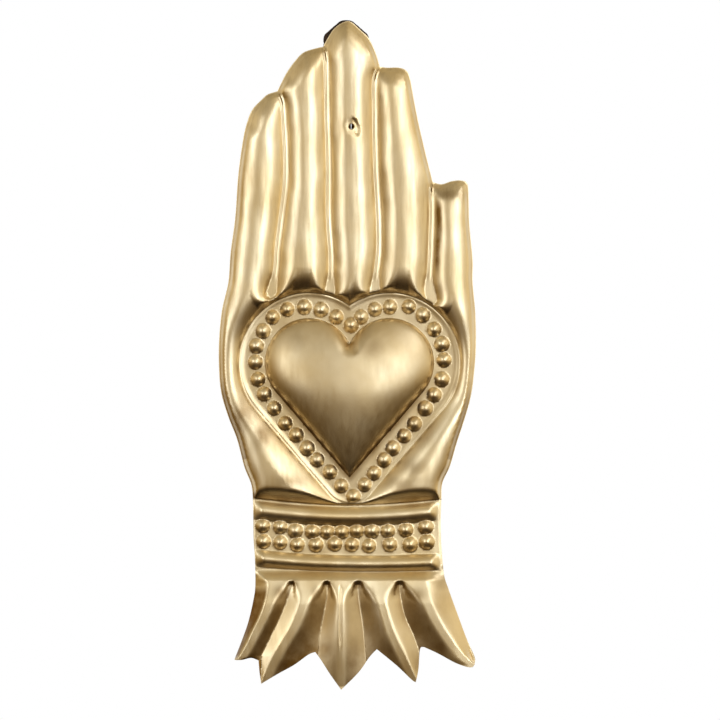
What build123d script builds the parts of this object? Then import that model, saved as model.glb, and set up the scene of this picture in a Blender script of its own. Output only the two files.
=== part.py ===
from build123d import *
import math
import os

# A votive hand charm, raised from one sheet of brass, with a hanger at its back.
# All sizes are in millimetres. The hand is drawn flat: X across, Y up the hand and
# Z out of the sheet towards the viewer, with the back plane at Z = 0 and the nail
# hole's axis through the origin. The finished pieces are then turned upright, so
# that the fingers point along +Z and the front looks along -Y.

# Sheet
sheet_thickness = 0.6
rim_width = 0.4

# Fingers: crown over the back plane, and the low foot where a finger meets the heart
finger_crown = 5.0
foot_crown = 1.3
finger_foot_y = -50.5

# Each finger's stations from the palm to its shoulder: place along the hand,
# centre and half width. From the shoulder its tip closes in an ellipse.
first_stations = [(-50.0, -31.0, 6.6), (-15.0, -27.2, 6.7), (0.0, -26.2, 5.6)]
first_tip = (-24.0, 10.0)
second_stations = [(-45.0, -15.0, 7.9), (-15.0, -13.6, 6.7), (8.0, -14.2, 6.5)]
second_tip = (-10.5, 23.6)
middle_stations = [(-45.0, 0.6, 6.8), (-15.0, 0.35, 7.2), (18.0, -0.3, 7.4)]
middle_tip = (-1.4, 31.4)
fourth_stations = [(-45.0, 15.6, 7.9), (-17.0, 16.0, 8.0), (11.0, 12.8, 5.6)]
fourth_tip = (13.0, 17.8)
last_stations = [(-50.0, 30.2, 6.3), (-29.0, 29.8, 5.4), (-22.0, 29.8, 5.3)]
last_tip = (31.0, -16.4)

# Heart: two round lobes that pass its middle, and two straight sides that meet in its point
heart_middle = -0.6
heart_lobe_radius = 13.2
heart_lobe_overlap = 1.1
heart_lobe_offset = heart_lobe_radius - heart_lobe_overlap
heart_lobe_y = -70.8
heart_point_y = -105.2
heart_crown = 9.5
flange_width = 7.6

# Palm folds beside the heart: stations from the fingers down to the wrist
fold_crown = 4.6
left_fold_stations = [
    (-50.0, -31.0, 6.6),
    (-60.0, -33.2, 5.9),
    (-70.0, -34.1, 5.4),
    (-80.0, -33.2, 5.7),
    (-90.0, -28.8, 7.0),
    (-101.0, -22.6, 9.5),
    (-107.0, -18.4, 11.6),
]
right_fold_stations = [
    (-50.0, 30.2, 6.3),
    (-60.0, 31.2, 5.9),
    (-70.0, 31.6, 5.4),
    (-80.0, 30.0, 5.7),
    (-90.0, 26.0, 7.0),
    (-101.0, 20.0, 9.5),
    (-107.0, 15.4, 11.6),
]
fold_foot_y = -112.5

# Beads
bead_radius = 2.05
bead_sink = 0.35
heart_bead_steps = 18
upper_bead_count = 11
lower_bead_count = 10

# Wrist band: three raised cords across the wrist, with two rows of beads between
wrist_middle = -1.2
wrist_half = 28.2
wrist_top_y = -108.0
cord_half_width = 2.6
cord_crown = 2.3
upper_cord_y = -116.0
lower_cord_y = -130.4
hem_cord_y = -135.4
band_sag = 2.0
upper_bead_y = -121.4
lower_bead_y = -125.6
band_bead_margin = 3.4

# Cuff: five pleats that fan out from the band and end in points
pleat_lap = 0.8
pleat_step = 0.1
pleat_start_y = -138.5
ridge_crown_start = 2.9
valley_crown_start = 1.1
ridge_crown_end = 6.2
valley_crown_end = 0.8
edge_crown_start = 1.4
edge_crown_end = 0.6
cuff_ridges = [-23.9, -13.7, -3.5, 8.3, 21.2]
cuff_points = [(-35.3, -160.1), (-27.2, -167.3), (-3.2, -169.1), (19.4, -166.7), (37.1, -161.6)]
cuff_valleys = [-17.3, -7.4, 2.1, 14.9]
cuff_notches = [(-28.6, -159.6), (-11.0, -157.7), (7.7, -156.8), (21.8, -156.2)]
cuff_flare_y = -146.0
cuff_flare_half = 31.4

# Nail hole in the middle finger, at the bottom of a small punched dent
nail_hole_radius = 0.8
dent_radius = 3.0
dent_depth = 0.7

# Hanger: a bent wire ring held in the rolled eye of a strap behind the middle finger
wire_radius = 1.1
ring_middle = -1.6
ring_half_width = 5.8
ring_bar_y = 19.5
ring_shoulder_y = 27.1
ring_top_y = 31.1
ring_top_half = 1.2
ring_bend_radius = 1.6
ring_back_gap = 0.3
eye_clearance = 0.06
strap_thickness = 0.7
strap_width = 5.0
strap_run = 5.0
strap_pad = 6.0
solder_gap = 0.2
solder_margin = 0.8

# Cutting tools run past the surfaces that they cut
overrun = 1.0
cuff_overlap = 4.0

# Steps of the closing finger tips, and of the heart's dome in degrees
tip_steps = [0.3, 0.55, 0.75, 0.88, 0.96, 0.99]
dome_angles = [0, 15, 30, 45, 60, 75, 85]


def arch_radius(half_width, crown):
    """Radius of the circle whose segment has this half width and crown."""
    return (half_width**2 + crown**2) / (2 * crown)


def inner_arch(half_width, crown):
    """Half width and crown of the arch one sheet thickness inside another."""
    radius = arch_radius(half_width, crown)
    sunk = radius - crown
    return math.sqrt((radius - sheet_thickness) ** 2 - sunk**2), crown - sheet_thickness


def arch_height(across, half_width, crown):
    """Height of an arch at a distance from its middle."""
    radius = arch_radius(half_width, crown)
    return math.sqrt(radius**2 - across**2) - (radius - crown)


def arch_face(half_width, crown, inside):
    """Section of a raised form, or of a hollow, which stands on legs that run out at the back."""
    arch = ThreePointArc((half_width, 0), (0, crown), (-half_width, 0))
    if not inside:
        return make_face([arch, Line((-half_width, 0), (half_width, 0))])
    legs = [(-half_width, 0), (-half_width, -overrun), (half_width, -overrun), (half_width, 0)]
    return make_face([arch, Polyline(*legs)])


def across_plane(centre, along):
    """Plane square to the hand's length, with its own Y out of the sheet."""
    return Plane(origin=(centre, along, 0), x_dir=(1, 0, 0), z_dir=(0, -1, 0))


def raised_form(sections, inside):
    """Solid through arches, each given by its place, centre, half width and crown."""
    faces = []
    for along, centre, half_width, crown in sections:
        faces.append(across_plane(centre, along) * arch_face(half_width, crown, inside))
    return loft(faces, ruled=True)


def form_outline(sections):
    """Flat outline of a raised form on the sheet, with its rim."""
    left = []
    right = []
    for along, centre, half_width, crown in sections:
        left.append((centre - half_width - rim_width, along))
        right.append((centre + half_width + rim_width, along))
    return make_face(Polyline(*left, *reversed(right), close=True))


def sized(sections, inside):
    """Sections of a raised form, or of the hollow one sheet thickness inside it."""
    if not inside:
        return sections
    return [(along, centre, *inner_arch(half, crown)) for along, centre, half, crown in sections]


def finger_sections(stations, tip, has_foot, inside=False):
    """Arches of one finger, or of its hollow, from the palm to its tip."""
    sections = [(*station, finger_crown) for station in stations]
    if has_foot:
        along, centre, half_width = stations[0]
        sections.insert(0, (finger_foot_y, centre, half_width, foot_crown))
    sections = sized(sections, inside)
    along, centre, half_width, crown = sections[-1]
    tip_centre, tip_along = tip
    reach = tip_along - along - (sheet_thickness if inside else 0)
    for step in tip_steps:
        closing = math.sqrt(1 - step**2)
        tip_x = centre + (tip_centre - centre) * step**2
        sections.append((along + reach * step, tip_x, half_width * closing, crown * closing))
    return sections


def fold_sections(stations, inside=False):
    """Arches of one palm fold, or of its hollow, from the fingers to the wrist."""
    along, centre, half_width = stations[-1]
    sections = [(*stations[0], finger_crown)]
    sections += [(*station, fold_crown) for station in stations[1:]]
    sections.append((fold_foot_y, centre, half_width, foot_crown))
    return sized(sections, inside)


def heart_edges(grow, share):
    """Right half of the heart, grown by a margin and shrunk to a share about its middle."""
    radius = heart_lobe_radius + grow
    drop = heart_lobe_y - heart_point_y
    reach = math.hypot(heart_lobe_offset, drop)
    lean = math.atan2(heart_lobe_offset, drop) + math.asin(heart_lobe_radius / reach)
    notch_rise = math.sqrt(radius**2 - heart_lobe_offset**2)
    half_turn = (math.atan2(notch_rise, -heart_lobe_offset) - lean) / 2
    notch = (0, notch_rise)
    crest = (heart_lobe_offset + radius * math.cos(half_turn), radius * math.sin(half_turn))
    side = (heart_lobe_offset + radius * math.cos(lean), -radius * math.sin(lean))
    point = (0, -drop - grow / math.sin(lean))
    corners = [Vector(*corner) * share for corner in (notch, crest, side, point)]
    return [ThreePointArc(*corners[:3]), Line(*corners[2:])]


def heart_face(grow, share=1.0):
    """Whole heart on the sheet."""
    half = heart_edges(grow, share)
    mirrored = [mirror(edge, about=Plane.YZ) for edge in half]
    return Pos(heart_middle, heart_lobe_y) * make_face(half + mirrored)


def heart_dome(inside):
    """Swelling of the heart, through hearts that shrink to its middle as they rise."""
    inset = sheet_thickness if inside else 0.0
    sections = []
    if inside:
        sections.append(Pos(0, 0, -overrun) * heart_face(-inset))
    for angle in dome_angles:
        share = math.cos(math.radians(angle))
        height = (heart_crown - inset) * math.sin(math.radians(angle))
        sections.append(Pos(0, 0, height) * heart_face(-inset, share))
    return loft(sections, ruled=True)


def flange_face(grow):
    """Flat border round the heart, rounded below its point."""
    return offset(heart_face(0), flange_width + grow, kind=Kind.ARC)


def band_face():
    """Flat wrist band, from under the palm to the crown of the hem cord."""
    height = wrist_top_y - hem_cord_y
    return Pos(wrist_middle, hem_cord_y + height / 2) * Rectangle(2 * wrist_half, height)


def band_cord(middle_y, sag, inside):
    """Raised cord across the wrist that sags in the middle."""
    reach = wrist_half + overrun
    ends = [(wrist_middle + side * reach, middle_y + sag) for side in (-1, 1)]
    if sag:
        path = ThreePointArc(ends[0], (wrist_middle, middle_y), ends[1])
    else:
        path = Line(*ends)
    half_width, crown = cord_half_width, cord_crown
    if inside:
        half_width, crown = inner_arch(half_width, crown)
    start = Plane(origin=path @ 0, x_dir=(path % 0).cross(Vector(0, 0, 1)), z_dir=-(path % 0))
    return sweep(start * arch_face(half_width, crown, inside), path)


def band_cords(inside):
    """The three cords of the wrist band."""
    rows = ((upper_cord_y, band_sag), (lower_cord_y, band_sag / 2), (hem_cord_y, 0))
    return [band_cord(middle_y, sag, inside) for middle_y, sag in rows]


def bead_places():
    """Middles of the beads round the heart and along the band."""
    places = []
    half = Wire(heart_edges(flange_width / 2, 1.0))
    for step in range(heart_bead_steps + 1):
        bead = half @ (step / heart_bead_steps)
        places.append((heart_middle + bead.X, heart_lobe_y + bead.Y))
        if 0 < step < heart_bead_steps:
            places.append((heart_middle - bead.X, heart_lobe_y + bead.Y))
    reach = wrist_half - band_bead_margin
    for row_y, count in ((upper_bead_y, upper_bead_count), (lower_bead_y, lower_bead_count)):
        for step in range(count):
            across = 2 * step / (count - 1) - 1
            places.append((wrist_middle + reach * across, row_y + band_sag / 2 * across**2))
    return places


def beads(radius):
    """One ball for each bead."""
    height = sheet_thickness - bead_sink
    return [Pos(x, y, height) * Sphere(radius) for x, y in bead_places()]


def cuff_line_places(along):
    """Pleat lines across the cuff from left to right, as places at one height along it."""
    edges = []
    for side, point in ((-1, cuff_points[0]), (1, cuff_points[-1])):
        top_x = wrist_middle + side * (wrist_half + overrun)
        edges.append((top_x, (point[0] + side * cuff_overlap, point[1])))
    ridges = list(zip(cuff_ridges, cuff_points))
    valleys = list(zip(cuff_valleys, cuff_notches))
    lines = [edges[0], ridges[0]]
    for valley, ridge in zip(valleys, ridges[1:]):
        lines += [valley, ridge]
    lines.append(edges[1])
    places = []
    for top_x, (end_x, end_y) in lines:
        places.append(top_x + (end_x - top_x) * (along - hem_cord_y) / (end_y - hem_cord_y))
    return places


def pleat_section(along, edge, ridge, valley):
    """Pleated strip of sheet across the cuff at one height along it."""
    heights = [edge] + [ridge, valley] * (len(cuff_ridges) - 1) + [ridge, edge]
    front = list(zip(cuff_line_places(along), heights))
    back = [(x, height - sheet_thickness) for x, height in reversed(front)]
    return across_plane(0, along) * make_face(Polyline(*front, *back, close=True))


def cuff():
    """Pleated cuff, cut along its pointed hem."""
    top_y = hem_cord_y + pleat_lap
    top_crown = cord_crown - pleat_step
    lowest = min(y for x, y in cuff_points) - overrun
    strip = loft(
        [
            pleat_section(top_y, top_crown, top_crown, top_crown),
            pleat_section(hem_cord_y, top_crown, top_crown, top_crown),
            pleat_section(pleat_start_y, edge_crown_start, ridge_crown_start, valley_crown_start),
            pleat_section(lowest, edge_crown_end, ridge_crown_end, valley_crown_end),
        ],
        ruled=True,
    )
    hem = [cuff_points[0]]
    for notch, point in zip(cuff_notches, cuff_points[1:]):
        hem += [notch, point]
    tops = [(wrist_middle + side * wrist_half, top_y) for side in (-1, 1)]
    flares = [(wrist_middle + side * cuff_flare_half, cuff_flare_y) for side in (-1, 1)]
    left_side = ThreePointArc(tops[0], flares[0], hem[0])
    right_side = ThreePointArc(hem[-1], flares[1], tops[1])
    shape = make_face([left_side, Polyline(*hem), right_side, Line(tops[1], tops[0])])
    return strip & extrude(shape, ridge_crown_end + overrun)


fingers = [
    (first_stations, first_tip, False),
    (second_stations, second_tip, True),
    (middle_stations, middle_tip, True),
    (fourth_stations, fourth_tip, True),
    (last_stations, last_tip, False),
]
folds = [left_fold_stations, right_fold_stations]


def rimmed(tip):
    """Tip of a finger's outline, one rim beyond the raised tip."""
    return (tip[0], tip[1] + rim_width)


def web_face(left_stations, right_stations):
    """Sheet between two neighbouring fingers, from the heart up to the shorter one's shoulder."""
    top_y = min(left_stations[-1][0], right_stations[-1][0])
    left = [(left_stations[0][1], heart_lobe_y), (left_stations[-1][1], top_y)]
    right = [(right_stations[-1][1], top_y), (right_stations[0][1], heart_lobe_y)]
    return make_face(Polyline(*left, *right, close=True))


def sheet_outline():
    """Flat outline of the hand down to the hem cord."""
    outline = flange_face(0) + band_face()
    for left_finger, right_finger in zip(fingers, fingers[1:]):
        outline += web_face(left_finger[0], right_finger[0])
    for stations, tip, has_foot in fingers:
        outline += form_outline(finger_sections(stations, rimmed(tip), has_foot))
    for stations in folds:
        outline += form_outline(fold_sections(stations))
    return outline


def hand_and_palm(inside):
    """Fingers and palm folds, raised or hollow, sunk where the heart's flange lies."""
    forms = [raised_form(finger_sections(*one, inside), inside) for one in fingers]
    forms += [raised_form(fold_sections(stations, inside), inside) for stations in folds]
    grow = sheet_thickness if inside else 0.0
    floor = -2 * overrun if inside else sheet_thickness
    pocket = extrude(Pos(0, 0, floor) * flange_face(grow), finger_crown + overrun - floor)
    dent = Pos(0, 0, finger_crown + dent_radius - dent_depth) * Sphere(dent_radius + grow)
    body = forms[0].fuse(*forms[1:])
    return body - pocket - dent


def embossed_hand():
    """The whole hand, raised in one sheet."""
    plate = extrude(sheet_outline(), sheet_thickness)
    band = extrude(band_face(), 2 * cord_crown)
    cords = [cord & band for cord in band_cords(False)]
    raised = plate.fuse(hand_and_palm(False), heart_dome(False), *cords, *beads(bead_radius))
    raised = split(raised, Plane.XY, keep=Keep.TOP)
    hollows = [hand_and_palm(True), heart_dome(True), *band_cords(True)]
    raised = raised.cut(*hollows, *beads(bead_radius - sheet_thickness))
    hand = raised + cuff()
    depth = dent_depth + sheet_thickness + overrun
    nail_hole = Pos(0, 0, finger_crown) * Cylinder(nail_hole_radius, 2 * depth)
    return hand - nail_hole


def hanger_ring():
    """Bent wire ring with a straight bar at its foot."""
    half = [
        (ring_half_width, ring_bar_y),
        (ring_half_width, ring_shoulder_y),
        (ring_top_half, ring_top_y),
    ]
    corners = half + [(-x, y) for x, y in reversed(half)]
    path = FilletPolyline(*corners, radius=ring_bend_radius, close=True)
    start = Plane(origin=path @ 0, z_dir=path % 0)
    ring = sweep(start * Circle(wire_radius), path)
    return Pos(ring_middle, 0, bar_z) * ring


def hanger_strap():
    """Strip rolled round the ring's bar, with a pad that lies in the finger's hollow."""
    eye_radius = wire_radius + eye_clearance + strap_thickness
    pad_y = ring_bar_y - strap_run
    end_y = pad_y - strap_pad
    front = [(ring_bar_y, bar_z + eye_radius), (pad_y, strap_front), (end_y, strap_front)]
    back = [(y, z - strap_thickness) for y, z in reversed(front)]
    leg = make_face(Polyline(*front, *back, close=True))
    eye = Pos(ring_bar_y, bar_z) * Circle(eye_radius)
    hole = Pos(ring_bar_y, bar_z) * Circle(wire_radius + eye_clearance)
    side = Plane(origin=(ring_middle - strap_width / 2, 0, 0), x_dir=(0, 1, 0), z_dir=(1, 0, 0))
    return extrude(side * (eye + leg - hole), strap_width)


def solder_bed(strap):
    """Solder that fills the hollow of the finger round the strap's pad."""
    length = strap_pad + 2 * solder_margin
    width = strap_width + 2 * solder_margin
    middle_y = ring_bar_y - strap_run - strap_pad / 2
    floor = strap_front - strap_thickness / 2
    room = Pos(ring_middle, middle_y, floor + finger_crown / 2) * Box(width, length, finger_crown)
    hollow = raised_form(finger_sections(middle_stations, middle_tip, True, True), True)
    return (hollow & room) - strap


# The bar runs just behind the back plane, and the pad just clears the finger's hollow
bar_z = -(wire_radius + ring_back_gap)
hollow_half, hollow_crown = inner_arch(middle_stations[1][2], finger_crown)
pad_corner = strap_width / 2 + abs(ring_middle - middle_stations[-1][1])
strap_front = arch_height(pad_corner, hollow_half, hollow_crown) - solder_gap

strap = hanger_strap()
nodes = {
    "embossed_hand": embossed_hand(),
    "hanger_ring": hanger_ring(),
    "hanger_strap": strap,
    "solder_bed": solder_bed(strap),
}

os.makedirs("parts", exist_ok=True)
upright = Rot(X=90)
for name, solid in nodes.items():
    export_step(upright * solid, f"parts/{name}.step")
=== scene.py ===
"""Dresses the votive hand charm: its raised brass sheet, its hanger and a plain studio."""
import logging
import math
from dataclasses import dataclass, field
from enum import Enum

import bpy
import numpy as np
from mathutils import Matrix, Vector
from mathutils.geometry import delaunay_2d_cdt


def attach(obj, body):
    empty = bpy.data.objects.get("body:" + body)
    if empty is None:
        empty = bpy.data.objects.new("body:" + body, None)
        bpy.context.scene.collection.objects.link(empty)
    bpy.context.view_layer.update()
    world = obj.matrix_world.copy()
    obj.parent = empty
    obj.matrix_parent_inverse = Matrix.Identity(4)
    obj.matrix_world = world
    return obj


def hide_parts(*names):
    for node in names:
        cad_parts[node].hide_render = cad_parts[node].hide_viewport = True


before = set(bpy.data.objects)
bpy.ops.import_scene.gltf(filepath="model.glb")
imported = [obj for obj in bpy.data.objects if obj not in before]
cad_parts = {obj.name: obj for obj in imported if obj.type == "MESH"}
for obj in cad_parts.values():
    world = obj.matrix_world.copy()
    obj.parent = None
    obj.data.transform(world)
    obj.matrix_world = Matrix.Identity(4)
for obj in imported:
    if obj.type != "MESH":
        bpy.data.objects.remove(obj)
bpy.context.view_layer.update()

MM = 0.001
SPAN_POINTS = 24
# One wave of a noise pattern spans a light grain and a dark one.
WAVE_GRAINS = 2
LOG = logging.getLogger("votive_hand")
Array = np.ndarray
Pair = tuple[float, float]
Row = tuple[float, ...]
Line = list[Pair]


class Body(Enum):
    """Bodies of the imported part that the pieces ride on."""

    HAND = "hand"
    RING = "ring"


def linear(colour: str) -> tuple[float, float, float, float]:
    """Turns an sRGB hex colour into linear light.

    Args:
        colour: Six hex digits after a hash.

    Returns:
        Linear red, green and blue, with full alpha.
    """
    parts = [int(colour[at:at + 2], 16) / 255 for at in (1, 3, 5)]
    red, green, blue = (p / 12.92 if p <= 0.04045 else ((p + 0.055) / 1.055) ** 2.4 for p in parts)
    return red, green, blue, 1.0


def add(tree: bpy.types.NodeTree, kind: str, inputs: dict | None = None, **settings) -> bpy.types.Node:
    """Adds one node with its settings and links.

    Args:
        tree: Node tree that gets the node.
        kind: Type name of the node.
        inputs: Input names or numbers, each with a value or with the output that feeds it.
        **settings: Properties of the node.

    Returns:
        The new node.
    """
    node = tree.nodes.new(kind)
    for name, value in settings.items():
        setattr(node, name, value)
    for key, value in (inputs or {}).items():
        if isinstance(value, bpy.types.NodeSocket):
            tree.links.new(value, node.inputs[key])
        else:
            node.inputs[key].default_value = value
    return node


def blank_material(name: str) -> tuple[bpy.types.Material, bpy.types.NodeTree]:
    """Makes an empty node material.

    Args:
        name: Name of the material.

    Returns:
        The material and its cleared node tree.
    """
    material = bpy.data.materials.new(name)
    material.use_nodes = True
    material.node_tree.nodes.clear()
    return material, material.node_tree


def new_piece(name: str, points: Array, faces: list) -> bpy.types.Object:
    """Puts a mesh of points in millimetres into the scene.

    Args:
        name: Name of the piece.
        points: Places of the vertices, in millimetres.
        faces: Vertex numbers of each face.

    Returns:
        The new object, at the origin.
    """
    mesh = bpy.data.meshes.new(name)
    mesh.from_pydata((np.asarray(points) * MM).tolist(), [], faces)
    mesh.polygons.foreach_set("use_smooth", np.ones(len(mesh.polygons), bool))
    mesh.update()
    piece = bpy.data.objects.new(name, mesh)
    bpy.context.scene.collection.objects.link(piece)
    return piece


def grid_faces(rows: int, columns: int, wrap: bool = False, close: bool = False) -> list:
    """Quads of a grid of points laid out row by row.

    Args:
        rows: Number of rows.
        columns: Points in a row.
        wrap: Whether each row closes on itself.
        close: Whether the last row joins the first.

    Returns:
        Four vertex numbers for each quad.
    """
    near = np.arange(rows * columns).reshape(rows, columns)
    if wrap:
        near = np.hstack([near, near[:, :1]])
    if close:
        near = np.vstack([near, near[:1]])
    quads = np.stack([near[:-1, :-1], near[:-1, 1:], near[1:, 1:], near[1:, :-1]], -1)
    return quads.reshape(-1, 4).tolist()


def ease(share: Array) -> Array:
    """Smooth step from 0 to 1: three times the square less twice the cube."""
    held = np.clip(share, 0, 1)
    return held * held * (3 - 2 * held)


@dataclass(frozen=True)
class Step:
    """Smooth step that starts at a place and takes a length, below 0 where it runs backwards."""

    start: float
    length: float

    def __call__(self, place: Array) -> Array:
        """Share of the step that is done at each place, from 0 to 1."""
        return ease((place - self.start) / self.length)


def bell(gap: Array, width: float | Array) -> Array:
    """Bell over a distance: e to the power of less the square of the distance over the width."""
    return np.exp(-((gap / width) ** 2))


def closed(loop: Array) -> Array:
    """Line round a loop that ends where it starts."""
    return np.vstack([loop, loop[:1]])


def smooth_line(points: Line, step: float) -> Array:
    """Smooth curve through points, in even steps.

    Formula: on each span a cubic whose slope at either end is half the chord between the
    neighbours, then points at equal lengths along it.

    Args:
        points: Points that the curve passes.
        step: Distance between the returned points, in millimetres.

    Returns:
        Points along the curve, both ends included.
    """
    knots = np.asarray(points, float)
    knots = np.vstack([2 * knots[0] - knots[1], knots, 2 * knots[-1] - knots[-2]])
    a, b, c, d = (knots[at:len(knots) - 3 + at, None] for at in range(4))
    t = np.linspace(0, 1, SPAN_POINTS, endpoint=False)[None, :, None]
    cubic = 2 * b + (c - a) * t + (2 * a - 5 * b + 4 * c - d) * t**2 + (3 * b - a - 3 * c + d) * t**3
    fine = np.vstack([cubic.reshape(-1, 2) / 2, knots[-2:-1]])
    return even_line(fine, step)


def even_line(line: Array, step: float) -> Array:
    """Points at equal lengths along a line of short runs, both ends included.

    Args:
        line: Ends of the runs, in order.
        step: Distance between the points, about.

    Returns:
        Points along the line.
    """
    along = np.concatenate([[0], np.cumsum(np.hypot(*np.diff(line, axis=0).T))])
    places = np.linspace(0, along[-1], max(2, round(along[-1] / step) + 1))
    return np.column_stack([np.interp(places, along, line[:, axis]) for axis in (0, 1)])


def bands(points: Array, depth: float = 2.0) -> list[Array]:
    """Sorts points into bands across the hand, so that each is held against few runs.

    Args:
        points: Places X, Z, in millimetres.
        depth: Height of a band.

    Returns:
        The numbers of the points in each band that has any.
    """
    band = np.floor(points[:, 1] / depth).astype(int)
    order = np.argsort(band, kind="stable")
    parts = np.split(order, np.flatnonzero(np.diff(band[order])) + 1)
    return [part for part in parts if len(part)]


def distance(points: Array, line: Array, reach: float = 8.0) -> Array:
    """Distance from each point to the nearest place on a line of short runs.

    Formula: the foot of the point on each run, held within its ends, and the least distance.

    Args:
        points: Places X, Z, in millimetres.
        line: Ends of the runs, in order.
        reach: Greatest distance that is told apart.

    Returns:
        One distance for each point, none over the reach.
    """
    least = np.full(len(points), reach)
    for numbers in bands(points):
        part = points[numbers]
        near = (line[:, 1] > part[:, 1].min() - reach - 1) & (line[:, 1] < part[:, 1].max() + reach + 1)
        near = near[:-1] & near[1:]
        if not near.any():
            continue
        start, run = line[:-1][near], np.diff(line, axis=0)[near]
        square = np.maximum((run * run).sum(-1), 1e-12)
        way = part[:, None] - start
        share = np.clip((way * run).sum(-1) / square, 0, 1)
        gap = way - share[..., None] * run
        least[numbers] = np.minimum(reach, np.sqrt((gap * gap).sum(-1).min(1)))
    return least


def inside(points: Array, loop: Array) -> Array:
    """Whether each point lies in a closed loop: an odd number of its runs pass to the right.

    Args:
        points: Places X, Z, in millimetres.
        loop: Corners of the loop, in order.

    Returns:
        True for each point within.
    """
    a, b = loop, np.roll(loop, -1, axis=0)
    within = np.zeros(len(points), bool)
    for numbers in bands(points):
        x, z = points[numbers, :1], points[numbers, 1:]
        near = (np.maximum(a[:, 1], b[:, 1]) >= z.min()) & (np.minimum(a[:, 1], b[:, 1]) <= z.max())
        low, high = a[near], b[near]
        spans = (low[:, 1] > z) != (high[:, 1] > z)
        rise = np.where(high[:, 1] == low[:, 1], 1e-9, high[:, 1] - low[:, 1])
        cross = low[:, 0] + (z - low[:, 1]) / rise * (high[:, 0] - low[:, 0])
        within[numbers] = (spans & (x < cross)).sum(1) % 2 == 1
    return within


@dataclass
class Field:
    """Even grid of values over the hand's plane, in millimetres."""

    low: Pair
    high: Pair
    step: float

    def nodes(self) -> Array:
        """Points of the grid, as rows, columns and X, Z.

        Returns:
            An array of rows, columns and X, Z.
        """
        x = np.arange(self.low[0], self.high[0], self.step)
        z = np.arange(self.low[1], self.high[1], self.step)
        return np.stack(np.meshgrid(x, z), -1)

    def read(self, values: Array, points: Array) -> Array:
        """Reads the grid between its nodes.

        Formula: cubic convolution, which is smooth from cell to cell: four weights each way.

        Args:
            values: Values at the nodes.
            points: Places to read, in millimetres.

        Returns:
            One value for each point.
        """
        place = (points - np.asarray(self.low)) / self.step
        limit = np.array(values.shape[::-1]) - 3
        cell = np.clip(np.floor(place).astype(int), 1, limit)
        t = np.clip(place - cell, 0, 1)
        weights = [
            (-t + 2 * t**2 - t**3) / 2,
            (2 - 5 * t**2 + 3 * t**3) / 2,
            (t + 4 * t**2 - 3 * t**3) / 2,
            (t**3 - t**2) / 2,
        ]
        total = np.zeros(len(points))
        for down in range(4):
            for over in range(4):
                node = values[cell[:, 1] + down - 1, cell[:, 0] + over - 1]
                total += weights[over][:, 0] * weights[down][:, 1] * node
        return total


@dataclass
class Swell:
    """Form of a sheet that is pushed out between edges that hold it down.

    Formula: the push u answers u less reach squared times its Laplacian = 1, with u = 0 at
    the edges. It is kept as a ratio to a softened distance from the edge, which is known
    exactly at any point, so that the form runs cleanly into its edges.
    """

    grid: Field
    gap: Array
    free: Array
    reach: float
    soft: float = 1.6
    sweeps: int = 900
    edge_cells: int = 2
    carries: int = 8
    ratio: Array = field(init=False)

    def __post_init__(self) -> None:
        """Relaxes the push on the grid, then carries the ratio out over the edges."""
        pull = (self.reach / self.grid.step) ** 2
        push = np.zeros(self.free.shape)
        for _ in range(self.sweeps):
            beside = np.zeros_like(push)
            beside[1:-1, 1:-1] = push[:-2, 1:-1] + push[2:, 1:-1] + push[1:-1, :-2] + push[1:-1, 2:]
            push = np.where(self.free, (1 + pull * beside) / (1 + 4 * pull), 0)
        known = self.free & (self.gap > self.edge_cells * self.grid.step)
        ratio = np.where(known, push / np.maximum(self.softened(self.gap), 1e-6), 0)
        for _ in range(self.carries):
            total, count = np.zeros_like(ratio), np.zeros_like(ratio)
            for down in (-1, 0, 1):
                for over in (-1, 0, 1):
                    total += np.roll(ratio * known, (down, over), (0, 1))
                    count += np.roll(known, (down, over), (0, 1))
            ratio = np.where(known, ratio, total / np.maximum(count, 1))
            known = known | (count > 0)
        self.ratio = ratio

    def softened(self, gap: Array) -> Array:
        """Distance from the edge that levels off a few millimetres in."""
        return self.soft * np.tanh(gap / self.soft)

    def push(self, points: Array, gap: Array) -> Array:
        """Push at points whose distance from the edge is known."""
        return np.maximum(self.softened(gap) * self.grid.read(self.ratio, points), 0)


def lesser(a: Array, b: Array, blend: float) -> Array:
    """The lesser of two heights, rounded where they cross."""
    return -blend * np.logaddexp(-a / blend, -b / blend)


def filleted(push: Array, fillet: float) -> Array:
    """Rounds the foot of a swelling: its square over itself and the fillet's size."""
    return push**2 / (push + fillet)


def boxed(push: Array, power: float, fillet: float) -> Array:
    """Flattens the top of a swelling and steepens its sides: a small power of it."""
    return (push + fillet) ** power - fillet**power


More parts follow.
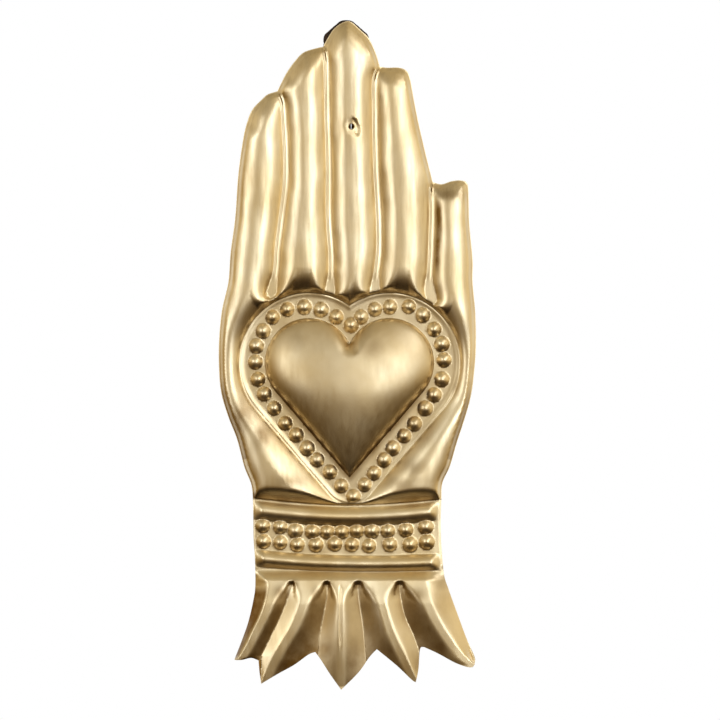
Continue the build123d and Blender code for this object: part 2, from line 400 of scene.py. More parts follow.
@dataclass
class HandOutline:
    """Cut edge of the sheet, traced in smooth runs that meet in corners, in millimetres."""

    step: float = 0.45
    runs: list[Line] = field(default_factory=lambda: [
        [(-35.2, -160.0), (-33.1, -154.7), (-31.0, -148.7), (-29.5, -142.3), (-28.9, -137.8),
         (-29.0, -130.0), (-29.4, -124.0), (-29.5, -118.0), (-29.6, -112.6), (-30.1, -107.5),
         (-32.2, -102.1), (-34.4, -93.8), (-37.0, -87.1), (-39.1, -80.0), (-39.8, -72.8),
         (-39.8, -64.3), (-38.9, -55.0), (-37.0, -46.6), (-36.3, -37.6), (-34.9, -26.8),
         (-34.0, -14.2), (-32.5, -3.4), (-31.3, 1.6), (-29.8, 5.2), (-27.0, 8.2),
         (-25.1, 9.8), (-22.3, 10.7)],
        [(-22.3, 10.7), (-19.6, 16.1), (-16.9, 19.9), (-14.5, 22.3), (-11.5, 23.4), (-8.5, 24.1)],
        [(-8.5, 24.1), (-7.6, 25.9), (-5.2, 29.5), (-2.2, 31.5), (-0.1, 31.5), (2.9, 28.9),
         (5.2, 26.6), (7.3, 22.1), (8.5, 18.1)],
        [(8.5, 18.1), (10.7, 17.8), (14.2, 17.8), (16.5, 16.9), (17.6, 14.5), (18.8, 7.9),
         (20.2, 0.8), (22.3, -8.2), (24.4, -16.6)],
        [(24.4, -16.6), (27.1, -17.2), (30.1, -16.3), (33.1, -16.1), (34.9, -17.2), (35.2, -21.8),
         (35.4, -29.2), (36.4, -39.8), (36.4, -46.6), (37.2, -55.9), (37.4, -65.5), (36.9, -73.3),
         (35.9, -80.8), (33.9, -88.0), (31.6, -95.0), (29.5, -102.1), (27.3, -107.0),
         (27.0, -112.0), (26.8, -118.0), (26.9, -124.0), (27.1, -127.0), (27.8, -134.5),
         (29.2, -139.0), (31.8, -146.2), (34.6, -153.8), (37.0, -159.2), (37.0, -161.5)],
        [(37.0, -161.5), (35.5, -162.2), (31.3, -160.9), (26.2, -158.2), (21.8, -156.2)],
        [(21.8, -156.2), (20.6, -156.8), (20.1, -162.8), (19.3, -166.7)],
        [(19.3, -166.7), (18.1, -166.0), (13.7, -161.8), (7.6, -156.8)],
        [(7.6, -156.8), (5.4, -159.2), (2.2, -163.7), (-3.1, -169.0)],
        [(-3.1, -169.0), (-6.5, -164.2), (-9.2, -160.0), (-10.9, -157.7)],
        [(-10.9, -157.7), (-13.0, -158.5), (-17.2, -161.5), (-22.1, -164.2), (-27.1, -167.2)],
        [(-27.1, -167.2), (-27.6, -163.7), (-27.9, -160.2)],
        [(-27.9, -160.2), (-30.1, -159.4), (-32.9, -160.0), (-35.2, -160.0)],
    ])

    def loop(self) -> Array:
        """The whole edge as points, clockwise as the viewer sees it, with none repeated."""
        return np.vstack([smooth_line(run, self.step)[:-1] for run in self.runs])


@dataclass
class HeartShape:
    """Heart of two round lobes and two straight sides, in millimetres."""

    middle: float = -0.6
    lobe_radius: float = 13.2
    lobe_offset: float = 12.1
    lobe_z: float = -70.8
    point_z: float = -105.2
    lobe_points: int = 90
    tip_points: int = 24

    def loop(self, grow: float, step: float) -> Array:
        """Heart grown by a margin, as points.

        Formula: an arc round each lobe's middle from the notch to where the side starts, then
        the side to the point, which is round where the heart is grown.

        Args:
            grow: Margin outside the heart, in millimetres.
            step: Distance between points.

        Returns:
            Points round the heart, with none repeated.
        """
        radius = self.lobe_radius + grow
        drop = self.lobe_z - self.point_z
        far = math.hypot(self.lobe_offset, drop)
        lean = math.atan2(self.lobe_offset, drop) + math.asin(self.lobe_radius / far)
        notch = math.atan2(math.sqrt(radius**2 - self.lobe_offset**2), -self.lobe_offset)
        turn = np.linspace(notch, -lean, self.lobe_points)
        lobe = np.column_stack([self.lobe_offset + radius * np.cos(turn), radius * np.sin(turn)])
        tip = np.linspace(-lean, -math.pi / 2, self.tip_points)
        point = np.column_stack([grow * np.cos(tip), grow * np.sin(tip) - drop])
        half = even_line(np.vstack([lobe, point]), step)
        left = half[-2:0:-1] * [-1, 1]
        return np.vstack([half, left]) + [self.middle, self.lobe_z]


@dataclass
class Relief:
    """Height of the raised sheet's front over its back plane, in millimetres.

    X runs to the viewer's right and Z up the hand. A step runs up the hand, down it as the cuff
    does, along X or away from an edge, as the method that takes it shows. The fingertips are
    spans of the points in the outline's first runs.
    """

    sheet: float = 0.6
    sheet_box: tuple[Pair, ...] = ((-42.0, -172.0), (40.0, 35.0))
    hand_box: tuple[Pair, ...] = ((-42.0, -118.0), (40.0, 35.0))
    heart_box: tuple[Pair, ...] = ((-30.0, -110.0), (30.0, -52.0))
    grid_step: float = 0.5
    loop_step: float = 0.5
    line_step: float = 1.0
    pleat_line_step: float = 0.8
    rim_roll: Step = Step(0.0, 1.8)
    side_roll: Step = Step(-1.08, 1.8)
    hand_reach: float = 4.0
    finger_crown: float = 2.6
    finger_fillet: float = 0.08
    finger_middle: Pair = (0.3, -20.0)
    tip_length: float = 6.0
    tip_spans: tuple[tuple[int, int | None], ...] = ((-5, None), (1, None), (1, 7), (0, 4), (0, 5))
    tip_shares: Pair = (0.35, 0.5)
    web_rise: float = 1.9
    web_width: float = 6.0
    web_upper: Step = Step(-86.0, 24.0)
    groove_half: float = 0.6
    groove_flare: float = 0.8
    groove_fan: Step = Step(-43.0, -7.0)
    groove_bead: float = 0.16
    groove_bead_end: Step = Step(-47.0, 4.0)
    end_pull: float = 6.0
    end_upper: Step = Step(-64.0, 9.0)
    end_slope: float = 0.95
    end_rise: float = 4.8
    end_lift: float = 0.3
    end_blend: float = 0.4
    end_side: float = 2.8
    end_side_reach: float = 6.2
    end_side_foot: Step = Step(0.0, 2.5)
    end_side_upper: Step = Step(-66.0, 8.0)
    flange_rise: float = 0.9
    flange_width: float = 7.5
    flange_roll: float = 0.7
    flange_lip: float = 0.22
    flange_lip_width: float = 0.8
    heart_reach: float = 14.0
    heart_sweeps: int = 2500
    heart_middle_z: float = -76.0
    heart_crown: float = 8.05
    heart_power: float = 0.33
    heart_fillet: float = 0.03
    heart_falls: Pair = (0.10, 0.06)
    heart_ridge_z: float = -80.5
    heart_ridge_round: float = 4.0
    heart_rim_hold: float = 2.5
    notch_z: float = -63.0
    notch_reach: float = 4.2
    notch_width: float = 7.5
    nick: Pair = (0.9, -66.6)
    nick_depth: float = 0.35
    nick_squash: float = 0.7
    nick_edge: Step = Step(1.5, -1.0)
    bead_crown: float = 1.38
    bead_radius: float = 2.35
    bead_power: float = 1.15
    bead_unevenness: Pair = (0.05, 0.06)
    bead_seeds: tuple[int, int] = (5, 8)
    wrist_hold: float = 3.0
    wrist_step: float = 0.15
    wrist_slope: float = 1.1
    wrist_blend: float = 0.3
    band_rise: float = 0.6
    cord_crown: float = 1.7
    cord_power: float = 1.2
    cord_halves: Pair = (2.9, 2.6)
    cord_right_end: Step = Step(0.4, 3.2)
    cord_left_end: Step = Step(0.0, 3.0)
    cord_left_share: float = 0.3
    cuff_top: float = -131.6
    cuff_lap: float = -134.5
    hem_rise: float = 3.0
    hem_drop: Step = Step(132.9, 3.6)
    pleat_crown: float = 4.2
    pleat_growth: Step = Step(135.5, 8.0)
    pleat_droop: float = 2.0
    droop_start: float = 143.0
    droop_length: float = 25.0
    droop_left: Step = Step(32.0, -10.0)
    cuff_side_rise: float = 0.3
    cuff_side_fall: Step = Step(131.5, 4.0)
    cuff_side_least: float = 0.5
    valley_rises: Row = (2.2, 1.5, 1.2, 1.3)
    valley_head: float = 135.9
    valley_arch: float = 3.5
    valley_length: float = 5.0
    valley_shortening: float = 3.4
    valley_taper: Step = Step(0.5, 0.35)
    ridge_tops: tuple[Pair, ...] = (
        (1.6, 0.9), (1.6, 0.9), (0.7, 0.4), (1.8, 1.3), (1.4, 0.3), (1.4, 0.3), (1.6, 0.9), (1.6, 0.9),
        (1.6, 1.2), (1.6, 1.2))
    middle_ridge: int = 4
    scribe_depth: float = 0.25
    scribe_width: float = 0.35
    scribe_ends: tuple[Step, Step] = (Step(137.0, 3.0), Step(158.0, -6.0))
    dent_middle: Pair = (0.8, -0.2)
    dent_lean: float = 0.25
    dent_halves: Pair = (1.7, 3.6)
    dent_tall: float = 3.2
    dent_depth: float = 0.4
    dent_edge: float = 1.05
    dent_softness: Pair = (0.5, 1.0)
    waviness: float = 0.012
    wave_count: int = 9
    wave_seed: int = 11
    wave_length: float = 4.5
    wave_longer: float = 1.5
    wave_squash: float = 0.35
    wave_rim: Step = Step(0.0, 3.0)
    flange_waves: float = 0.4
    outline: HandOutline = field(default_factory=HandOutline)
    heart: HeartShape = field(default_factory=HeartShape)
    grooves: list[Line] = field(default_factory=lambda: [
        [(-21.8, 9.9), (-20.6, 6.1), (-19.8, -6.8), (-19.8, -16.6), (-21.0, -26.8), (-22.3, -36.8),
         (-22.6, -42.1), (-24.1, -49.9)],
        [(-8.3, 23.8), (-7.6, 19.1), (-7.3, 3.1), (-6.9, -11.8), (-6.9, -26.8), (-6.1, -39.8),
         (-6.5, -49.6)],
        [(8.4, 18.0), (7.0, 13.9), (7.0, 3.1), (7.3, -11.8), (8.1, -26.8), (8.2, -37.0),
         (7.3, -44.9), (6.9, -49.6)],
        [(24.4, -16.9), (24.0, -19.3), (24.1, -26.8), (23.7, -39.8), (23.2, -47.5), (24.1, -52.0)],
    ])
    heart_beads: Line = field(default_factory=lambda: [
        (-0.1, -59.5), (2.9, -57.1), (7.0, -54.8), (11.5, -54.1), (17.2, -53.9), (21.4, -56.5),
        (24.8, -60.8), (27.1, -65.2), (27.8, -70.0), (27.1, -75.8), (24.8, -80.5), (22.1, -84.5),
        (18.9, -89.2), (15.8, -92.8), (12.4, -96.5), (9.8, -100.0), (6.8, -104.0), (4.0, -107.5),
        (0.6, -111.1), (-3.1, -107.8), (-6.5, -103.6), (-10.3, -100.0), (-13.3, -96.5),
        (-16.6, -92.5), (-19.9, -89.0), (-23.2, -84.5), (-26.2, -80.2), (-28.1, -75.8),
        (-28.9, -70.6), (-28.6, -65.8), (-26.6, -61.3), (-23.7, -57.1), (-19.3, -54.8),
        (-14.2, -54.1), (-9.2, -54.9), (-4.6, -57.1),
    ])
    band_beads: Line = field(default_factory=lambda: [
        (-26.6, -119.8), (-21.4, -120.1), (-16.9, -121.3), (-11.8, -121.6), (-7.3, -121.6),
        (-2.9, -121.6), (1.6, -121.3), (6.1, -121.3), (10.9, -121.3), (16.3, -121.0),
        (22.3, -120.1), (-26.4, -124.5), (-21.4, -124.8), (-16.3, -125.5), (-10.7, -125.5),
        (-5.0, -125.2), (0.1, -125.5), (5.2, -125.8), (11.5, -125.4), (17.6, -125.4),
        (22.6, -124.6),
    ])
    wrist: Line = field(default_factory=lambda: [(-32.0, -111.2), (-15.0, -112.9), (-1.0, -113.6),
                                                 (13.0, -113.0), (30.0, -111.6)])
    upper_cord: Line = field(default_factory=lambda: [(-32.0, -114.8), (-15.0, -116.5), (-1.0, -117.1),
                                                      (13.0, -116.6), (30.0, -115.0)])
    lower_cord: Line = field(default_factory=lambda: [(-32.0, -129.2), (-15.0, -130.7), (-1.0, -131.2),
                                                      (13.0, -131.2), (30.0, -130.6)])
    pleats: list[Line] = field(default_factory=lambda: [
        [(-28.3, -131.8), (-26.6, -133.3), (-24.4, -135.8), (-23.7, -137.8), (-25.1, -144.2),
         (-28.6, -151.7), (-32.2, -158.5), (-34.6, -159.9)],
        [(-17.6, -135.8), (-19.3, -142.0), (-20.8, -145.7), (-23.8, -152.2), (-27.1, -158.7)],
        [(-13.9, -135.2), (-13.9, -139.0), (-15.1, -143.8), (-17.8, -150.4), (-22.6, -158.5),
         (-26.6, -166.7)],
        [(-7.3, -136.0), (-7.4, -141.2), (-8.6, -147.5), (-9.5, -152.5), (-10.2, -158.5)],
        [(-3.4, -135.2), (-3.3, -142.0), (-3.3, -154.0), (-3.1, -168.4)],
        [(1.9, -136.0), (2.2, -141.2), (2.9, -146.0), (3.6, -151.0), (4.4, -160.5)],
        [(8.2, -135.2), (8.5, -140.5), (9.4, -144.2), (11.5, -151.3), (14.5, -157.7), (18.4, -165.4)],
        [(14.5, -136.0), (14.7, -140.3), (16.1, -147.0), (18.5, -152.3), (20.2, -157.0)],
        [(20.6, -135.2), (21.4, -138.4), (22.9, -143.5), (27.1, -151.3), (32.5, -158.5), (36.4, -161.5)],
    ])
    cuff_left: Line = field(default_factory=lambda: [
        (-29.2, -128.0), (-28.9, -137.8), (-31.0, -148.7), (-35.2, -160.0)])
    cuff_right: Line = field(default_factory=lambda: [
        (27.2, -128.0), (29.2, -139.0), (34.6, -153.8), (37.0, -161.5)])
    edge: Array = field(init=False)
    edge_line: Array = field(init=False)
    heart_loop: Array = field(init=False)
    heart_line: Array = field(init=False)
    full_line: Array = field(init=False)
    flange_loop: Array = field(init=False)
    flange_line: Array = field(init=False)
    end_line: Array = field(init=False)
    wrist_line: Array = field(init=False)
    hold_line: Array = field(init=False)
    tip_lines: list[Array] = field(init=False)
    groove_lines: list[Array] = field(init=False)
    cord_lines: list[Array] = field(init=False)
    pleat_lines: list[Array] = field(init=False)
    hand_swell: Swell = field(init=False)
    finger_top: float = field(init=False)
    heart_swell: Swell = field(init=False)
    heart_push: float = field(init=False)
    heart_top: float = field(init=False)

    def __post_init__(self) -> None:
        """Lays out the lines, then relaxes the swelling of the hand and of the heart."""
        self.lay_loops()
        self.wrist_line = smooth_line(self.wrist, self.line_step)
        self.hold_line = self.wrist_line - [0.0, self.wrist_hold]
        self.tip_lines = [smooth_line(run[slice(*span)], self.line_step)
                          for run, span in zip(self.outline.runs, self.tip_spans)]
        self.groove_lines = [smooth_line(line, self.line_step) for line in self.grooves]
        self.cord_lines = [smooth_line(line, self.line_step) for line in (self.upper_cord, self.lower_cord)]
        self.pleat_lines = [smooth_line(line, self.pleat_line_step) for line in self.pleats]
        self.swell_hand()
        self.swell_heart()

    def lay_loops(self) -> None:
        """Lays out the cut edge, the heart and its flange.

        Formula: the heart's full line bridges the notch between the lobes. The line where the
        fingers end is the flange's edge, pulled in towards the lobes' middles at its top.
        """
        heart = self.heart
        self.edge = self.outline.loop()
        self.edge_line = closed(self.edge)
        self.heart_loop = heart.loop(0.0, self.loop_step)
        self.heart_line = closed(self.heart_loop)
        self.full_line = self.heart_line.copy()
        between = np.abs(self.full_line[:, 0] - heart.middle) < heart.lobe_offset
        between &= self.full_line[:, 1] > heart.lobe_z
        self.full_line[between, 1] = heart.lobe_z + heart.lobe_radius
        self.flange_loop = heart.loop(self.flange_width, self.loop_step)
        self.flange_line = closed(self.flange_loop)
        side = np.where(self.flange_line[:, :1] > heart.middle, 1, -1)
        way = self.flange_line - ([heart.middle, heart.lobe_z] + side * [heart.lobe_offset, 0])
        pull = self.end_pull * self.end_upper(self.flange_line[:, 1:])
        self.end_line = self.flange_line - way * pull / np.hypot(*way.T)[:, None]

    def swell_hand(self) -> None:
        """Relaxes the hand's swelling between its edges, and measures it in the middle finger."""
        grid = Field(*self.hand_box, self.grid_step)
        nodes = grid.nodes()
        flat, shape = nodes.reshape(-1, 2), nodes.shape[:2]
        gap = self.hand_gap(flat)
        free = inside(flat, self.edge) & ~inside(flat, self.end_line[:-1]) & (gap > 0)
        free &= flat[:, 1] > self.at(self.hold_line, flat[:, 0])
        self.hand_swell = Swell(grid, gap.reshape(shape), free.reshape(shape), self.hand_reach)
        middle = np.array([self.finger_middle])
        push = self.hand_swell.push(middle, self.hand_gap(middle))
        self.finger_top = float(filleted(push, self.finger_fillet)[0])

    def swell_heart(self) -> None:
        """Relaxes the heart's swelling inside its full line, and measures it at its middle."""
        grid = Field(*self.heart_box, self.grid_step)
        nodes = grid.nodes()
        flat, shape = nodes.reshape(-1, 2), nodes.shape[:2]
        gap = distance(flat, self.full_line).reshape(shape)
        free = inside(flat, self.full_line[:-1]).reshape(shape)
        self.heart_swell = Swell(grid, gap, free, self.heart_reach, sweeps=self.heart_sweeps)
        centre = np.array([[self.heart.middle, self.heart_middle_z]])
        self.heart_push = float(self.heart_swell.push(centre, distance(centre, self.full_line))[0])
        self.heart_top = boxed(1.0, self.heart_power, self.heart_fillet)

    @staticmethod
    def at(line: Array, x: Array) -> Array:
        """Z of a line that runs across the hand, at each X."""
        return np.interp(x, line[:, 0], line[:, 1])

    @staticmethod
    def down(line: Array, z: Array) -> Array:
        """X of a line that runs down the hand, at each Z."""
        return np.interp(-z, -line[:, 1], line[:, 0])

    def hand_gap(self, points: Array) -> Array:
        """Distance to the nearest edge that holds the hand's swelling down.

        Args:
            points: Places X, Z, in millimetres.

        Returns:
            One distance for each point.
        """
        edges = [self.edge_line, self.end_line, self.hold_line]
        gap = np.min([distance(points, line) for line in edges], axis=0)
        return np.minimum(gap, np.maximum(self.groove_gap(points) - self.groove_width(points), 0))

    def groove_gap(self, points: Array) -> Array:
        """Distance to the nearest groove between two fingers."""
        return np.min([distance(points, line) for line in self.groove_lines], axis=0)

    def groove_width(self, points: Array) -> Array:
        """Half width of the grooves' floor, which flares into a fan by the heart."""
        return self.groove_half + self.groove_flare * self.groove_fan(points[:, 1])

    def tip(self, points: Array) -> Array:
        """Share of its height that each finger has near its tip, rounded off to 1.

        Args:
            points: Places X, Z, in millimetres.

        Returns:
            A share from 0 to 1 for each point.
        """
        x, z = points.T
        sides = [self.down(line, z) for line in self.groove_lines]
        sides = [np.full(len(x), -np.inf), *sides, np.full(len(x), np.inf)]
        share = np.ones(len(x))
        for line, left, right in zip(self.tip_lines, sides[:-1], sides[1:]):
            near = 1 - np.minimum(distance(points, line) / self.tip_length, 1)
            share = np.where((x > left) & (x <= right), 1 - near**2, share)
        return share

    def hand(self, points: Array, edge_gap: Array) -> Array:
        """Fingers and palm: the swelling, on a web that lifts away from the cut edge.

        Formula: the fingers slope back at their tips, and over the heart they end in a hip
        that rises from the flange, later at their middle than beside the grooves. The sheet
        rolls into the flange's lip over the last millimetre.

        Args:
            points: Places X, Z, in millimetres.
            edge_gap: Their distances from the cut edge.

        Returns:
            Height over the flat sheet at each point.
        """
        z = points[:, 1]
        flange_gap = distance(points, self.flange_line)
        groove = self.groove_gap(points)
        tip = self.tip(points)
        push = self.hand_swell.push(points, self.hand_gap(points))
        rise = self.finger_crown * filleted(push, self.finger_fillet) / self.finger_top
        bead = self.groove_bead * np.maximum(1 - (groove / self.groove_half) ** 2, 0)
        spread = ease(flange_gap / self.web_width + self.web_upper(z))
        web = self.flange_rise + (self.web_rise - self.flange_rise) * spread
        low_web, low_rise = self.tip_shares
        total = web * self.rim_roll(edge_gap) * (low_web + (1 - low_web) * tip)
        total += rise * (low_rise + (1 - low_rise) * tip) + bead * self.groove_bead_end(z)
        wrist = self.band_rise + self.wrist_step + self.wrist_slope * distance(points, self.wrist_line)
        total = lesser(total, wrist * self.side_roll(edge_gap), self.wrist_blend)
        end = self.flange_rise + self.end_rise * (1 - np.exp(-flange_gap * self.end_slope / self.end_rise))
        side = self.end_side * np.maximum(1 - groove / self.end_side_reach, 0)
        end += side * self.end_side_foot(flange_gap) * self.end_side_upper(z)
        free = lesser(total, end + self.end_lift, self.end_blend) - self.flange_rise
        return self.flange_rise + free * (1 - bell(flange_gap, self.flange_roll)) + self.lip(flange_gap)

    def lip(self, flange_gap: Array) -> Array:
        """Low round lip along the edge of the heart's flange: a bell over the distance from it."""
        return self.flange_lip * bell(flange_gap, self.flange_lip_width)

    def beads(self, points: Array, places: Line, seed: int) -> Array:
        """Round beads, each a little different.

        Formula: crown times a power of 1 less the square of the distance over the radius.

        Args:
            points: Places X, Z, in millimetres.
            places: Middles of the beads.
            seed: Start of the random draws that make them uneven.

        Returns:
            Height of the beads at each point.
        """
        uneven = np.random.default_rng(seed).uniform(-1, 1, (len(places), 2)) * self.bead_unevenness
        total = np.zeros(len(points))
        for (x, z), (wider, taller) in zip(places, uneven):
            radius = self.bead_radius * (1 + wider)
            square = ((points - [x, z]) ** 2).sum(1) / radius**2
            crown = self.bead_crown * (1 + taller)
            total = np.maximum(total, crown * np.maximum(1 - square, 0) ** self.bead_power)
        return total

    def palm_heart(self, points: Array) -> Array:
        """Flange with its ring of beads, and the heart that swells out of it.

        Formula: the swelling falls evenly up and down the hand from a level below the lobes'
        middles, is rounded off towards the notch between the lobes, and has a small nick there.

        Args:
            points: Places X, Z, in millimetres.

        Returns:
            Height over the flat sheet at each point.
        """
        x, z = points.T
        within = inside(points, self.heart_loop)
        push = np.where(within, self.heart_swell.push(points, distance(points, self.full_line)), 0)
        swell = boxed(push / self.heart_push, self.heart_power, self.heart_fillet)
        swell *= self.heart_crown / self.heart_top
        up = z - self.heart_ridge_z
        fall = np.hypot(up, self.heart_ridge_round) - self.heart_ridge_round
        fall *= np.where(up > 0, *self.heart_falls)
        swell -= within * fall * np.tanh(self.heart_rim_hold * push / self.heart_push)
        notch = np.hypot(x - self.heart.middle, z - self.notch_z)
        short = 1 - np.minimum(distance(points, self.heart_line) / self.notch_reach, 1)
        swell *= 1 - bell(notch, self.notch_width) * (1 - np.sqrt(1 - short**2))
        nick = np.hypot(x - self.nick[0], (z - self.nick[1]) * self.nick_squash)
        swell -= self.nick_depth * self.nick_edge(nick) * within
        beads = np.where(within, 0, self.beads(points, self.heart_beads, self.bead_seeds[0]))
        return self.flange_rise + swell + np.maximum(beads, self.lip(distance(points, self.flange_line)))

    def band(self, points: Array, edge_gap: Array) -> Array:
        """Wrist band: two raised cords, with two rows of beads between them.

        Formula: each cord is a power of 1 less the square of the distance from its line, and
        is lower at the cut edges.

        Args:
            points: Places X, Z, in millimetres.
            edge_gap: Their distances from the cut edge.

        Returns:
            Height over the flat sheet at each point.
        """
        x, z = points.T
        low = self.cord_left_share
        left = low + (1 - low) * self.cord_left_end(edge_gap)
        fade = np.where(x > 0, self.cord_right_end(edge_gap), left)
        total = np.full(len(points), self.band_rise)
        for line, half in zip(self.cord_lines, self.cord_halves):
            across = (z - self.at(line, x)) / half
            total += self.cord_crown * fade * np.maximum(1 - across**2, 0) ** self.cord_power
        beads = self.beads(points, self.band_beads, self.bead_seeds[1])
        return np.maximum(total, self.band_rise + beads) * self.side_roll(edge_gap)

    def cuff(self, points: Array) -> Array:
        """Pleated cuff below the band.

        Formula: between a ridge line and a valley line the height falls evenly with the
        distance from the ridge's flat top, blunted at its shoulder. The valleys start in
        an arch below the hem, which is steep at its top. The pleats' ends droop, but for the one
        on the right, and the sheet falls away outside the outer ridges. A line is scribed along
        the middle ridge.

        Args:
            points: Places X, Z, in millimetres.

        Returns:
            Height over the flat sheet at each point.
        """
        x, z = points.T
        down = -z
        hem = self.band_rise + (self.hem_rise - self.band_rise) * self.hem_drop(down)
        ridge = hem + (self.pleat_crown - self.hem_rise) * self.pleat_growth(down)
        droop = np.clip((down - self.droop_start) / self.droop_length, 0, 1) ** 2
        ridge -= self.pleat_droop * droop * self.droop_left(x)
        side = hem - (hem - self.cuff_side_rise) * self.cuff_side_fall(down)
        lines = [self.down(line, z) for line in self.pleat_lines]
        left = np.minimum(self.down(np.array(self.cuff_left), z), lines[0] - self.cuff_side_least)
        right = np.maximum(self.down(np.array(self.cuff_right), z), lines[-1] + self.cuff_side_least)
        places = [left, *lines, right]
        last = len(places) - 1
        total = np.where((x < left) | (x >= right), side, 0.0)
        for at, (blunt, flat) in enumerate(self.ridge_tops):
            here = (x >= places[at]) & (x < places[at + 1])
            width = np.maximum(places[at + 1] - places[at], 1e-6)
            top, low = (at, at + 1) if at % 2 else (at + 1, at)
            off = np.hypot(np.maximum(np.abs(x - places[top]) - flat, 0), blunt) - blunt
            share = off / (np.hypot(np.maximum(width - flat, 0.1), blunt) - blunt)
            length = self.valley_length - self.valley_shortening * self.valley_taper(share)
            scoop = ease((down - self.valley_head - self.valley_arch * (1 - share) ** 2) / length)
            floor = side
            if low not in (0, last):
                floor = ridge - (ridge - self.valley_rises[low // 2 - 1]) * scoop
            total += here * (ridge + (floor - ridge) * share)
        scribe = self.scribe_depth * bell(x - lines[self.middle_ridge], self.scribe_width)
        for end in self.scribe_ends:
            scribe = scribe * end(down)
        return total - scribe

    def dent(self, points: Array) -> Array:
        """Small lopsided dent round the nail hole, with a hard edge on its right.

        Args:
            points: Places X, Z, in millimetres.

        Returns:
            Depth of the dent at each point.
        """
        x, z = points.T
        lean = x - self.dent_middle[0] + self.dent_lean * z
        right = lean > 0
        across = lean / np.where(right, *self.dent_halves)
        spread = np.hypot(across, (z - self.dent_middle[1]) / self.dent_tall)
        return self.dent_depth * ease((self.dent_edge - spread) / np.where(right, *self.dent_softness))

    def waves(self, points: Array) -> Array:
        """Unevenness of hand work: a few long, shallow waves across one another.

        Args:
            points: Places X, Z, in millimetres.

        Returns:
            Height that the waves add at each point.
        """
        turns = np.random.default_rng(self.wave_seed).uniform(0, 2 * math.pi, (self.wave_count, 2))
        total = np.zeros(len(points))
        for at, (angle, phase) in enumerate(turns):
            length = self.wave_length + self.wave_longer * at
            way = points[:, 0] * math.cos(angle) + points[:, 1] * math.sin(angle) * self.wave_squash
            total += np.sin(2 * math.pi * way / length + phase)
        return self.waviness * total

    def height(self, points: Array) -> Array:
        """Front of the sheet over the back plane.

        Args:
            points: Places X, Z on the sheet, in millimetres.

        Returns:
            Height at each point, in millimetres.
        """
        x, z = points.T
        edge_gap = distance(points, self.edge_line)
        flange = inside(points, self.flange_loop)
        above = z > self.at(self.wrist_line, x)
        cuff = z < self.cuff_top
        hand, heart, band = above & ~flange, flange & ~cuff, ~above & ~flange & ~cuff
        total = np.empty(len(points))
        total[hand] = self.hand(points[hand], edge_gap[hand])
        total[heart] = self.palm_heart(points[heart])
        total[band] = self.band(points[band], edge_gap[band])
        total[cuff] = np.maximum(self.cuff(points[cuff]), 0)
        lap = cuff & (z > self.cuff_lap)
        total[lap] = np.maximum(total[lap], self.band(points[lap], edge_gap[lap]))
        total -= self.dent(points)
        total += self.waves(points) * self.wave_rim(edge_gap) * np.where(flange, self.flange_waves, 1.0)
        return self.sheet + np.maximum(total, 0)


def hex_points(low: Pair, high: Pair, step: float) -> Array:
    """Even points in staggered rows.

    Args:
        low: Lower corner, X and Z.
        high: Upper corner.
        step: Distance between points.

    Returns:
        Points over the whole box.
    """
    x = np.arange(low[0], high[0], step)
    z = np.arange(low[1], high[1], step * math.sqrt(3) / 2)
    across, along = np.meshgrid(x, z)
    across[1::2] += step / 2
    return np.column_stack([across.ravel(), along.ravel()])


def rows_beside(line: Array, offsets: Row) -> Array:
    """Rows of points beside a line, each at its own distance to one side of it.

    Args:
        line: Points of the line, in order.
        offsets: Distance of each row.

    Returns:
        The rows, one after another.
    """
    way = np.gradient(line, axis=0)
    across = np.column_stack([-way[:, 1], way[:, 0]]) / np.hypot(*way.T)[:, None]
    return np.vstack([line + across * offset for offset in offsets])


def rings(places: Line, radii: Row, counts: tuple[int, ...]) -> Array:
    """Rings of points round each of several places.

    Args:
        places: Middles of the rings.
        radii: Radius of each ring.
        counts: Points in each ring.

    Returns:
        The middles, then the rings.
    """
    parts = [np.asarray(places, float)]
    for radius, count in zip(radii, counts):
        turn = np.linspace(0, 2 * math.pi, count, endpoint=False)
        ring = radius * np.column_stack([np.cos(turn), np.sin(turn)])
        parts.append((parts[0][:, None] + ring).reshape(-1, 2))
    return np.vstack(parts)


def thin_out(points: Array, cell: float) -> Array:
    """Keeps the first point in each small cell of the plane."""
    _, first = np.unique(np.floor(points / cell).astype(int), axis=0, return_index=True)
    return points[np.sort(first)]


@dataclass(frozen=True)
class Spacing:
    """How close the points of one skin lie, in millimetres.

    A row lies beside a line, at its own distance to one side of it.
    """

    lattice: float
    cell: float
    gap: float
    cord_gap: float
    cord_row_gap: float
    edge_rows: Row
    groove_rows: Row
    heart_rows: Row
    pleat_rows: Row
    bead_shares: Row
    bead_counts: tuple[int, ...]


class Skin(Enum):
    """The two faces of the raised sheet with their spacings, of which the back's is coarser."""

    FRONT = Spacing(
        lattice=0.62, cell=0.24, gap=0.45, cord_gap=0.585, cord_row_gap=0.33,
        edge_rows=(0.3, -0.3, 0.65, -0.65, 1.05, -1.05),
        groove_rows=(0.0, 0.19, -0.19, 0.37, -0.37, 0.55, -0.55, 0.85, -0.85, 1.3, -1.3, 1.8, -1.8),
        heart_rows=(0.0, 0.25, -0.25, 0.55, -0.55, 0.95, -0.95, 1.5, -1.5),
        pleat_rows=(0.0, 0.3, -0.3, 0.7, -0.7, 1.2, -1.2),
        bead_shares=(0.3, 0.55, 0.78, 0.93, 1.03, 1.16, 1.35),
        bead_counts=(6, 12, 17, 20, 22, 22, 18))
    BACK = Spacing(
        lattice=0.95, cell=0.33, gap=0.7, cord_gap=0.91, cord_row_gap=0.8,
        edge_rows=(0.45, -0.45, 0.95, -0.95, 1.5, -1.5),
        groove_rows=(0.0, -0.19, -0.37),
        heart_rows=(0.0, 0.5, -0.5, 1.0, -1.0),
        pleat_rows=(0.0, 0.6, -0.6),
        bead_shares=(0.4, 0.75, 1.0, 1.22),
        bead_counts=(7, 14, 16, 16))


